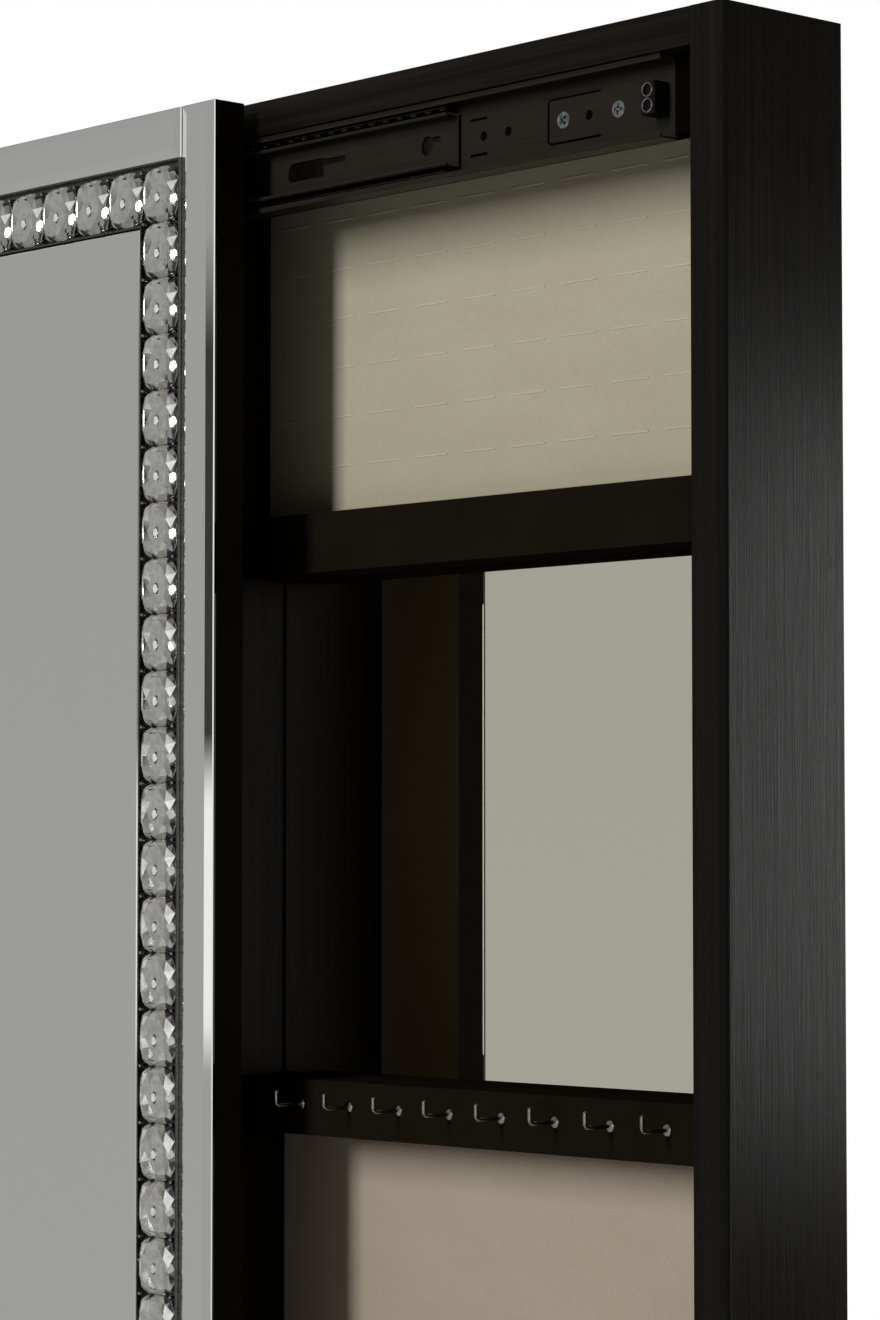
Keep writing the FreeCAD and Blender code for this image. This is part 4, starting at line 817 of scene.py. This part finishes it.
class CABINET_OT_slides(bpy.types.Operator):
    """Coats the drawer slides, their cages, balls and stops"""
    bl_idname = "cabinet.slides"
    bl_label = "Drawer slides"

    def execute(self, context):
        coat = electrocoat("black_electrocoat")
        # The balls are a dark steel tone, far darker than bare bearing steel.
        steel = metal("dark_bearing_steel", ("#2a2622", "#443e37"), (0.3, 0.45))
        cage = metal("blackened_cage_steel", ("#211e1a", "#37322c"), (0.4, 0.55))
        for which in ("upper", "lower"):
            for part in ("cabinet_member", "middle_member", "door_member"):
                finish_node(f"{which}_{part}", coat)
            for part in ("outer", "inner"):
                finish_node(f"{which}_{part}_cage", cage)
                finish_node(f"{which}_{part}_balls", steel)
        straight, bent = bead_tree(2), bead_tree(4)
        # Painted shade: near-black beads laid in the pressed lines stand in for the grooves' shadow.
        shade_beads = melamine("painted_groove_shade", ("#030202", "#060504"), 0.8, 0.0)
        given = context.scene.cabinet_slides
        for which in ("upper", "lower"):
            for part, roll in (("cabinet_member", given.lip_roll), ("middle_member", given.race_roll)):
                low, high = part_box(f"{which}_{part}")
                self.beads(f"{which}_{part}_edges", f"{which}_{part}", straight, coat, roll,
                           [[(x, low.y + roll * ROLL_SINK, z) for x in (low.x, high.x)]
                            for z in (low.z + roll, high.z - roll)])
            self.marks(given, which, straight, bent, shade_beads)
        self.stops(given, moulded_rubber("moulded_black_rubber"))
        self.screws(given, metal("zinc_screw", ("#6f7071", "#a4a5a6"), (0.16, 0.28)))
        return {"FINISHED"}

    def beads(self, name, node, tree, finish, roll, paths, bend=0.0):
        """Beads of one thickness along several paths, on the body of a node."""
        meshes = []
        for path in paths:
            corners = {f"Corner {k}": corner for k, corner in enumerate(path)}
            mesh = realised(name, tree, {**corners, "Bend": bend, "Roll": roll, "Finish": finish})
            mesh.set_sharp_from_angle(angle=math.radians(40))
            meshes.append(mesh)
        piece = joined(name, meshes)
        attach(piece, BODY_OF[node])

    def marks(self, given, which, straight, bent, finish):
        """Near-black beads along the lines pressed into the cabinet member: painted shade that stands in for
        the grooves' shadow.
        """
        node = f"{which}_cabinet_member"
        low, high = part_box(node)
        face = min(box[0].y for box in solids("slide_screws"))
        sunk = face + given.mark_roll - given.mark_proud
        middle = (low.z + high.z) / 2
        right, left = high.x - given.outline_right, high.x - given.outline_left
        rise = given.outline_rise
        self.beads(f"{which}_pressed_outline", node, bent, finish, given.mark_roll, [
            [(right, sunk, middle + rise), (left, sunk, middle + rise),
             (left, sunk, middle - rise), (right, sunk, middle - rise)]], given.outline_bend)
        dash = high.x - given.dash
        self.beads(f"{which}_pressed_dashes", node, straight, finish, given.mark_roll, [
            [(dash + side * given.dash_length / 2, sunk, middle + hand * given.dash_rise) for side in (-1, 1)]
            for hand in (-1, 1)])

    def screws(self, given, zinc):
        """Countersunk screws with a raised head and a cross recess."""
        work = bmesh.new()
        for index, (low, high) in enumerate(solids("slide_screws")):
            centre = Vector(((low.x + high.x) / 2, low.y, (low.z + high.z) / 2))
            head = (high.x - low.x) / 2
            turned = SCREW_TURN[0] + SCREW_TURN[1] * index
            self.screw(work, given, centre, head, high.y - low.y, turned)
        bmesh.ops.recalc_face_normals(work, faces=work.faces)
        settle(new_piece("raised_screws", mesh_from("raised_screws", work, 32), zinc), "slide_screws")

    def screw(self, work, given, centre, head, long, turned):
        """One screw, turned to its own angle: rings from the middle of the head out, down to the tip."""
        shank = given.screw_shank / 2
        rings = [(share * head, None) for share in SCREW_RINGS]
        rings += [(shank, given.screw_cone)] + [(shank * wide, long * deep) for wide, deep in SCREW_TIP]
        made = []
        for radius, depth in rings:
            ring = []
            for k in range(SCREW_SIDES):
                turn = 2 * math.pi * k / SCREW_SIDES
                u, v = radius * math.cos(turn), radius * math.sin(turn)
                y = depth
                if depth is None:
                    y = -given.screw_crown * (1 - (radius / head) ** 2)
                    arm = given.cross_width / 2
                    in_cross = min(abs(u), abs(v)) < arm and radius < head * CROSS_REACH
                    y += given.cross_depth * (1 - radius / head) if in_cross else 0.0
                c, s = math.cos(turned), math.sin(turned)
                ring.append(work.verts.new(centre + Vector((u * c - v * s, y, u * s + v * c))))
            made.append(ring)
        for inner, outer in zip(made, made[1:]):
            for k in range(SCREW_SIDES):
                n = (k + 1) % SCREW_SIDES
                work.faces.new((inner[k], inner[n], outer[n], outer[k]))
        work.faces.new(made[0])
        work.faces.new(made[-1])

    def stops(self, given, rubber):
        """Each end stop is a rubber block with soft edges; a wire clip runs round its two eyes."""
        eased_board("slide_stops", given.stop_ease, rubber, shortest=STOP_SHORTEST)
        low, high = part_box("slide_stops")
        work = bmesh.new()
        for which in ("upper", "lower"):
            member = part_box(f"{which}_cabinet_member")
            level = (member[0].z + member[1].z) / 2
            for side in (-1, 1):
                place = Vector(((low.x + high.x) / 2, low.y, level + side * given.eye_rise))
                self.clip(work, place, given.eye / 2 + given.eye_lip * CLIP_SEAT, given.eye_lip)
        mesh = mesh_from("stop_lips", work)
        mesh.shade_smooth()
        piece = new_piece("stop_lips", mesh, metal("stop_clip_steel", ("#5f605f", "#8c8d8c"), (0.25, 0.4)))
        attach(piece, BODY_OF["slide_stops"])

    def clip(self, work, place, radius, thick):
        """A wire bent round an eye, as a ring of circles."""
        rings = []
        for i in range(CLIP_AROUND):
            turn = 2 * math.pi * i / CLIP_AROUND
            away = Vector((math.cos(turn), 0, math.sin(turn)))
            ring = []
            for k in range(CLIP_ACROSS):
                bend = 2 * math.pi * k / CLIP_ACROSS
                ring.append(work.verts.new(place + away * (radius + thick * math.cos(bend))
                                           + Vector((0, thick * math.sin(bend), 0))))
            rings.append(ring)
        for i in range(CLIP_AROUND):
            here, there = rings[i], rings[(i + 1) % CLIP_AROUND]
            for k in range(CLIP_ACROSS):
                n = (k + 1) % CLIP_ACROSS
                work.faces.new((here[k], here[n], there[n], there[k]))


class CABINET_OT_door(bpy.types.Operator):
    """Dresses the door's frame, panel, battens and crystal channel"""
    bl_idname = "cabinet.door"
    bl_label = "Door"

    def execute(self, context):
        ease = context.scene.cabinet_carcass.door_ease
        # The frame's rear face is a lighter brown: painted light for the light that the door's back catches,
        # which the vanity mirror shows.
        frame_black = melamine("door_frame_melamine", ("#0c0907", "#14100d"), back="#51483c")
        for node in ("door_stile_left", "door_stile_right", "door_rail_top", "door_rail_bottom",
                     "upper_door_batten", "lower_door_batten"):
            eased_board(node, ease, frame_black)
        finish_node("door_panel", melamine("door_panel_hardboard", ("#080605", "#0d0a08"), 0.7, 0.0))
        # The channel's chrome is darkened all over: painted shade for the dark band that runs beside the
        # stones.
        finish_node("crystal_channel", metal("darkened_chrome_painted_shade", ("#4e4e4c", "#6c6c6a"), (0.22, 0.34)))
        return {"FINISHED"}


class CABINET_OT_crystals(bpy.types.Operator):
    """Cuts a foiled crystal and its claw, and repeats them round the channel"""
    bl_idname = "cabinet.crystals"
    bl_label = "Crystals"

    def execute(self, context):
        given = context.scene.cabinet_crystals
        tree = run_tree()
        crystal, back = lead_crystal("lead_crystal"), foil("silver_foil")
        stone = new_piece("stone_model", self.stone(given))
        claw = new_piece("claw_model", self.claw(given))
        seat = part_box("crystals_right")[1].y
        self.runs(tree, given, seat, stone, crystal, back)
        nickel = metal("chromed_claw", ("#777775", "#a3a3a0"), (0.08, 0.2))
        self.claws(tree, given, seat, claw, nickel)
        for model in (stone, claw):
            bpy.data.objects.remove(model)
        return {"FINISHED"}

    def sides(self, given):
        """Start, step and count of the stones along each side. The corner stones belong to the rows."""
        spans = {}
        for side in ("top", "bottom", "left", "right"):
            low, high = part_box(f"crystals_{side}")
            along = side in ("left", "right")
            count = round(((high.z - low.z) if along else (high.x - low.x)) / given.pitch)
            middle = (low + high) / 2
            outward = Vector((given.lean_out, 0, 0)) if along else Vector((0, 0, -given.lean_in))
            middle += outward if side in ("right", "top") else -outward
            step = Vector((0, 0, given.pitch)) if along else Vector((given.pitch, 0, 0))
            if along:
                step.z = (spans["top"][0].z - spans["bottom"][0].z) / (count + 1)
            first = middle - step * (count - 1) / 2
            spans[side] = (Vector((first.x, 0, first.z)), step, count)
        return spans

    def runs(self, tree, given, seat, stone, crystal, back):
        """The stones of all four sides, as one piece."""
        meshes = []
        for start, step, count in self.sides(given).values():
            meshes.append(realised("crystal_stones", tree, {
                "Start": (start.x, seat, start.z), "Step": step, "Count": count, "Piece": stone,
                "Finish": crystal, "Back Finish": back}))
        piece = joined("crystal_stones", meshes)
        settle(piece, "crystals_top", "crystals_bottom", "crystals_left", "crystals_right")

    def claws(self, tree, given, seat, claw, nickel):
        """Two claws in each gap between neighbours, one at either edge of the run."""
        meshes = []
        off = given.width / 2 - given.claw * CLAW_INSET
        for start, step, count in self.sides(given).values():
            sideways = Vector((off, 0, 0)) if step.z else Vector((0, 0, off))
            for hand in (-1, 1):
                first = start - step / 2 + hand * sideways
                gaps = count + 1 if step.z else count - 1
                first = first if step.z else first + step
                meshes.append(realised("crystal_claws", tree, {
                    "Start": (first.x, seat, first.z), "Step": step, "Count": gaps, "Piece": claw,
                    "Finish": nickel, "Back Finish": nickel}))
        piece = joined("crystal_claws", meshes)
        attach(piece, "door")

    def ring(self, work, half, corner, y, count, shift=0.0, tall=1.0):
        """A ring of corners on an upright rectangle with bowed sides, at one level of the stone."""
        made = []
        for k in range(count):
            turn = 2 * math.pi * (k + shift) / count
            c, s = math.cos(turn), math.sin(turn)
            reach = half * (abs(c) ** corner + abs(s) ** corner) ** (-1 / corner)
            made.append(work.verts.new((reach * c, y, reach * s * tall)))
        return made

    def stone(self, given):
        """A cushion-cut stone: a wide table, star, main and break facets, and a foiled back.

        One facet beside the table is coated too, so that it flashes on the side it is seen from."""
        half, table = given.width / 2, given.table / 2
        crown = given.height - given.girdle
        work = bmesh.new()
        coated = work.faces.layers.bool.new("coated")
        hub = self.ring(work, HUB_RADIUS, HUB_CUSHION, -HUB_DEPTH, FACETS, tall=HUB_TALL)
        dent = self.ring(work, DENT_RADIUS, DENT_CUSHION, 0.0, FACETS, tall=DENT_TALL)
        for vert in hub:
            vert.co.y += vert.co.x * HUB_TILT
        for vert in hub + dent:
            vert.co += Vector(HUB_SHIFT)
        back = self.ring(work, half * BACK_SHARE, CUSHION, -BACK_LIFT, 2 * FACETS)
        girdle = self.ring(work, half, CUSHION, -given.girdle, 2 * FACETS)
        reach = (half * BREAK_SHARES[0] + table * BREAK_SHARES[1]) * BREAK_BULGE
        middle = self.ring(work, reach, BREAK_CUSHION, -given.girdle - crown * BREAK_RISE, FACETS,
                           tall=(1 + given.table_height / given.table) / 2)
        top = self.ring(work, table, CUSHION, -given.height, FACETS, 0.5, given.table_height / given.table)
        foiled = [hub[::-1]]
        clear = [top]
        for k in range(FACETS):
            n = (k + 1) % FACETS
            foiled.append((hub[k], hub[n], dent[n], dent[k]))
            foiled.append((dent[k], dent[n], back[2 * n], back[2 * k + 1], back[2 * k]))
            star = (middle[k], top[k - 1], top[k])
            kite = (top[k], middle[n], girdle[2 * k + 1], middle[k])
            clear.append(star)
            (foiled if k == 0 else clear).append(kite)
            clear.append((middle[k], girdle[2 * k], girdle[2 * k + 1]))
            clear.append((middle[n], girdle[2 * k + 1], girdle[2 * n]))
        for k in range(2 * FACETS):
            n = (k + 1) % (2 * FACETS)
            clear.append((back[k], back[n], girdle[n], girdle[k]))
        for corners in foiled:
            work.faces.new(corners)[coated] = True
        for corners in clear:
            work.faces.new(corners)[coated] = False
        bmesh.ops.triangulate(work, faces=[f for f in work.faces if 4 < len(f.verts) < FACETS])
        bmesh.ops.recalc_face_normals(work, faces=work.faces)
        flashes = [f for f in work.faces if f[coated] and f.calc_center_median().y < -given.girdle]
        bmesh.ops.poke(work, faces=flashes, offset=FLASH_POKE)
        return mesh_from("stone_model", work)

    def claw(self, given):
        """A round claw with a domed tip that holds two stones at their girdles."""
        work = bmesh.new()
        radius = given.claw / 2
        levels = [(radius, 0.0)] + [(radius * share, -given.girdle - rise) for share, rise in CLAW_TIP]
        rings = []
        for size, y in levels:
            turns = [2 * math.pi * k / CLAW_SIDES for k in range(CLAW_SIDES)]
            rings.append([work.verts.new((size * math.cos(t), y, size * math.sin(t))) for t in turns])
        for below, above in zip(rings, rings[1:]):
            for k in range(CLAW_SIDES):
                n = (k + 1) % CLAW_SIDES
                work.faces.new((below[k], below[n], above[n], above[k]))
        work.faces.new(rings[-1])
        work.faces.new(list(reversed(rings[0])))
        bmesh.ops.recalc_face_normals(work, faces=work.faces)
        return mesh_from("claw_model", work, 50)


class CABINET_OT_stage(bpy.types.Operator):
    """Makes the camera, the floor, the soft lights and the surroundings"""
    bl_idname = "cabinet.stage"
    bl_label = "Stage"

    def execute(self, context):
        given = context.scene.cabinet_stage
        self.camera(context)
        self.floor(given)
        self.lights(given)
        self.surroundings(context, given)
        context.scene.view_settings.view_transform = "Standard"
        return {"FINISHED"}

    def camera(self, context):
        data = bpy.data.cameras.new("camera")
        data.lens = CAMERA_LENS
        made = bpy.data.objects.new("camera", data)
        context.scene.collection.objects.link(made)
        made.location = CAMERA_PLACE
        pitch, yaw = math.radians(CAMERA_PITCH), math.radians(CAMERA_YAW)
        made.rotation_euler = Euler((math.pi / 2 + pitch, 0.0, yaw), "XYZ")
        context.scene.camera = made

    def floor(self, given):
        work = bmesh.new()
        bmesh.ops.create_circle(work, cap_ends=True, segments=96, radius=given.floor_radius)
        level = CAD_BOX[0].z - given.floor_gap
        bmesh.ops.translate(work, verts=work.verts, vec=(0, 0, level))
        mesh = mesh_from("floor", work)
        pale, tree, shader, place = new_material("pale_floor")
        grain = noise(tree, place, (0.4, 0.4, 0.4))
        shade = add(tree, "ShaderNodeMix", {"Factor": grain, "A": given.floor_colour[:],
                                            "B": linear("#f1f0ee")}, data_type="RGBA")
        tree.links.new(shade.outputs["Result"], shader.inputs["Base Color"])
        shader.inputs["Roughness"].default_value = 0.9
        shader.inputs["Specular IOR Level"].default_value = 0.1
        new_piece("floor", mesh, pale)

    def lights(self, given):
        middle = (CAD_BOX[0] + CAD_BOX[1]) / 2
        for name, spot, (wide, tall), power in (("key", KEY_PLACE, KEY_SIZE, given.key_power),
                                                ("side", SIDE_PLACE, SIDE_SIZE, given.side_power)):
            data = bpy.data.lights.new(name, "AREA")
            data.shape, data.size, data.size_y, data.energy = "RECTANGLE", wide, tall, power
            made = bpy.data.objects.new(name, data)
            bpy.context.scene.collection.objects.link(made)
            made.location = middle + Vector(spot)
            made.rotation_euler = Vector((-spot[0], -spot[1], 0)).to_track_quat("-Z", "Y").to_euler()
            made.visible_camera = False
            made.visible_glossy = name == "side"  # no mirror shows the key light

    def surroundings(self, context, given):
        """White to the camera. Mirrors and metal see a white studio with five cards: a grey one that the
        flat mirrors show, one to either side of it that their bevels show, and a grey and a dark one that
        the right sides of the cabinet and of the door show."""
        world = bpy.data.worlds.new("studio")
        world.use_nodes = True
        tree = world.node_tree
        tree.nodes.clear()
        way = add(tree, "ShaderNodeTexCoord").outputs["Generated"]
        parts = add(tree, "ShaderNodeSeparateXYZ", {"Vector": way})
        flat = add(tree, "ShaderNodeCombineXYZ", {"X": parts.outputs["X"], "Y": parts.outputs["Y"]})
        level = add(tree, "ShaderNodeVectorMath", {0: flat.outputs[0]}, operation="NORMALIZE").outputs[0]
        height = add(tree, "ShaderNodeMapRange", {"Value": parts.outputs["Z"], "From Min": -CARD_REACH,
                                                  "From Max": CARD_REACH}).outputs["Result"]
        seen = ramp(tree, height, STUDIO_TONES)
        for turn, wide, narrow, stops in CARDS:
            towards = (math.cos(math.radians(turn)), math.sin(math.radians(turn)), 0)
            facing = add(tree, "ShaderNodeVectorMath", {0: level, 1: towards}, operation="DOT_PRODUCT")
            mask = add(tree, "ShaderNodeMapRange", {
                "Value": facing.outputs["Value"], "From Min": math.cos(math.radians(wide)),
                "From Max": math.cos(math.radians(narrow))}, interpolation_type="SMOOTHSTEP")
            tone = ramp(tree, height, [(0.5 + z / (2 * CARD_REACH), code) for z, code in stops])
            seen = add(tree, "ShaderNodeMix", {"Factor": mask.outputs[0], "A": seen, "B": tone},
                       data_type="RGBA").outputs["Result"]
        path = add(tree, "ShaderNodeLightPath")
        mirrored = add(tree, "ShaderNodeMath", {0: path.outputs["Is Glossy Ray"],
                                                1: path.outputs["Is Transmission Ray"]},
                       operation="MAXIMUM")
        even = (*[given.fill * share for share in FILL_TINT], 1.0)
        shown = add(tree, "ShaderNodeMix", {"Factor": mirrored.outputs[0], "A": even, "B": seen},
                    data_type="RGBA").outputs["Result"]
        final = add(tree, "ShaderNodeMix", {"Factor": path.outputs["Is Camera Ray"], "A": shown,
                                            "B": (1, 1, 1, 1)}, data_type="RGBA").outputs["Result"]
        sky = add(tree, "ShaderNodeBackground", {"Color": final, "Strength": 1.0})
        add(tree, "ShaderNodeOutputWorld", {"Surface": sky.outputs[0]})
        context.scene.world = world


class CABINET_PT_panel(bpy.types.Panel):
    """Lists the cabinet's operators and their sizes"""
    bl_idname = "CABINET_PT_panel"
    bl_label = "Jewelry Mirror Cabinet"
    bl_space_type = "VIEW_3D"
    bl_region_type = "UI"
    bl_category = "Cabinet"

    def draw(self, context):
        for operator in OPERATORS:
            self.layout.operator(operator.bl_idname)
        for name, group in GROUPS.items():
            box = self.layout.box()
            for field in group.__annotations__:
                box.prop(getattr(context.scene, name), field)


OPERATORS = (CABINET_OT_stage, CABINET_OT_carcass, CABINET_OT_linings, CABINET_OT_mirrors,
             CABINET_OT_hooks, CABINET_OT_slides, CABINET_OT_door, CABINET_OT_crystals)


def register():
    for made in (*GROUPS.values(), *OPERATORS, CABINET_PT_panel):
        bpy.utils.register_class(made)
    for name, group in GROUPS.items():
        setattr(bpy.types.Scene, name, PointerProperty(type=group))


def unregister():
    for name in GROUPS:
        delattr(bpy.types.Scene, name)
    for made in reversed((*GROUPS.values(), *OPERATORS, CABINET_PT_panel)):
        bpy.utils.unregister_class(made)


def main():
    register()
    for operator in OPERATORS:
        section, verb = operator.bl_idname.split(".")
        getattr(getattr(bpy.ops, section), verb)()


if __name__ == "__main__":
    main()
